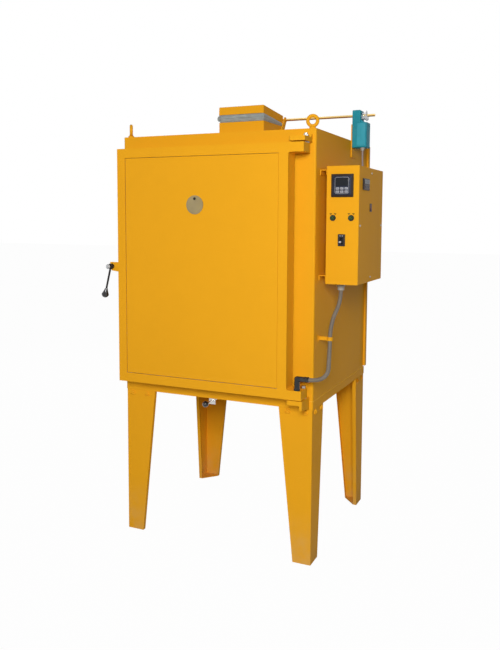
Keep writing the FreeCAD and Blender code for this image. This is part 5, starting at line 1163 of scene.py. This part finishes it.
def makeSmallParts():
    points = islands("latch_lever")[0]
    front = points[:, 1].min()
    hub = points[points[:, 1] < front + 0.004]
    centre = (hub.min(0) + hub.max(0)) / 2
    nut = facingFront(hexHead(*small["nut"])) + np.array([centre[0], front, centre[2]])
    finished(faceOut(gridPiece("latchNut", nut)), "chrome", "latch", "zinc")
    grip, groove, step = small["grip"], small["groove"], small["ridgeStep"]
    profile = [(0.0100, 0), (0.0114, 0), (grip, 0.001)]
    for k in range(small["ridges"]):
        profile += [(grip, (k + 1) * step), (groove, (k + 1.5) * step)]
    profile += [(grip, 0.0095), (0.0110, 0.0105), (0.0092, 0.0110)]
    piece = revolved("elbowRing", profile, conduitRoute()[0], "X", 40)
    finished(faceOut(piece), "elbow", "door", "black_plastic")


makeSmallParts()
print("faces, marks, rope, blanket and small parts made")


# floor and light: each lamp's place, target, size and power

light = {"world": 0.13, "floorWhite": 0.98, "floorSize": 30.0}
lamps = {"keySoftbox": ((1.7, -4.4, 2.4), (0.1, 0, 1.3), 1.2, 171.0),
         "fillSoftbox": ((-3.4, -2.6, 2.4), (0, 0, 1.2), 2.0, 14.0),
         "topSoftbox": ((0.2, -0.6, 4.8), (0, 0, 1.0), 2.5, 10.0),
         "rearSoftbox": ((-2.4, 4.2, 2.8), (0, 0, 1.2), 2.5, 80.0)}


def seenByCamera(tree):
    path = addNode(tree, "LightPath").outputs
    seen = mathNode(tree, "MAXIMUM", path["Is Camera Ray"], path["Is Glossy Ray"])
    return mathNode(tree, "MAXIMUM", seen, path["Is Transmission Ray"])


def mixShaders(tree, share, first, second, out):
    mix = addNode(tree, "MixShader")
    for socket, value in zip(mix.inputs, (share, first, second)):
        tree.links.new(value, socket)
    tree.links.new(mix.outputs[0], out.inputs["Surface"])


def makeFloor():
    # white where the camera sees it, apart from a share that keeps the kiln's shadow
    size = light["floorSize"]
    corners = [(-size, -size, 0), (size, -size, 0), (size, size, 0), (-size, size, 0)]
    piece = newMesh("studioFloor", corners, [[0, 1, 2, 3]], False)
    material, tree, place = startMaterial("paleFloor")
    tone = useGroup(tree, "slowTone", place, Scale=0.7, Amount=0.01, Colour=(0.5, 0.5, 0.5))["Colour"]
    dress(material, tone, 0.9, **{"Specular IOR Level": 0.0})
    white = addNode(tree, "Emission", Color=(1, 1, 1), Strength=1.0)
    share = times(tree, seenByCamera(tree), light["floorWhite"])
    ends = tree.nodes["Principled BSDF"].outputs[0], white.outputs[0], tree.nodes["Material Output"]
    mixShaders(tree, share, *ends)
    piece.data.materials.append(material)


def makeLight(name, place, target, size, power):
    data = bpy.data.lights.new(name, "AREA")
    data.size = size
    data.energy = power
    lamp = bpy.data.objects.new(name, data)
    bpy.context.scene.collection.objects.link(lamp)
    lamp.location = place
    lamp.rotation_euler = (Vector(target) - Vector(place)).to_track_quat("-Z", "Y").to_euler()


def makeWorld():
    # white where the camera looks past the kiln, softer white as light
    world = bpy.data.worlds.new("studioWhite")
    bpy.context.scene.world = world
    world.use_nodes = True
    tree = world.node_tree
    tree.nodes.clear()
    soft, plain = (addNode(tree, "Background", Color=(1, 1, 1), Strength=strength).outputs[0]
                   for strength in (light["world"], 1.0))
    mixShaders(tree, seenByCamera(tree), soft, plain, addNode(tree, "OutputWorld"))


makeFloor()
makeWorld()
for name, values in lamps.items():
    makeLight(name, *values)
bpy.context.scene.view_settings.view_transform = "Standard"
print("floor and light made")
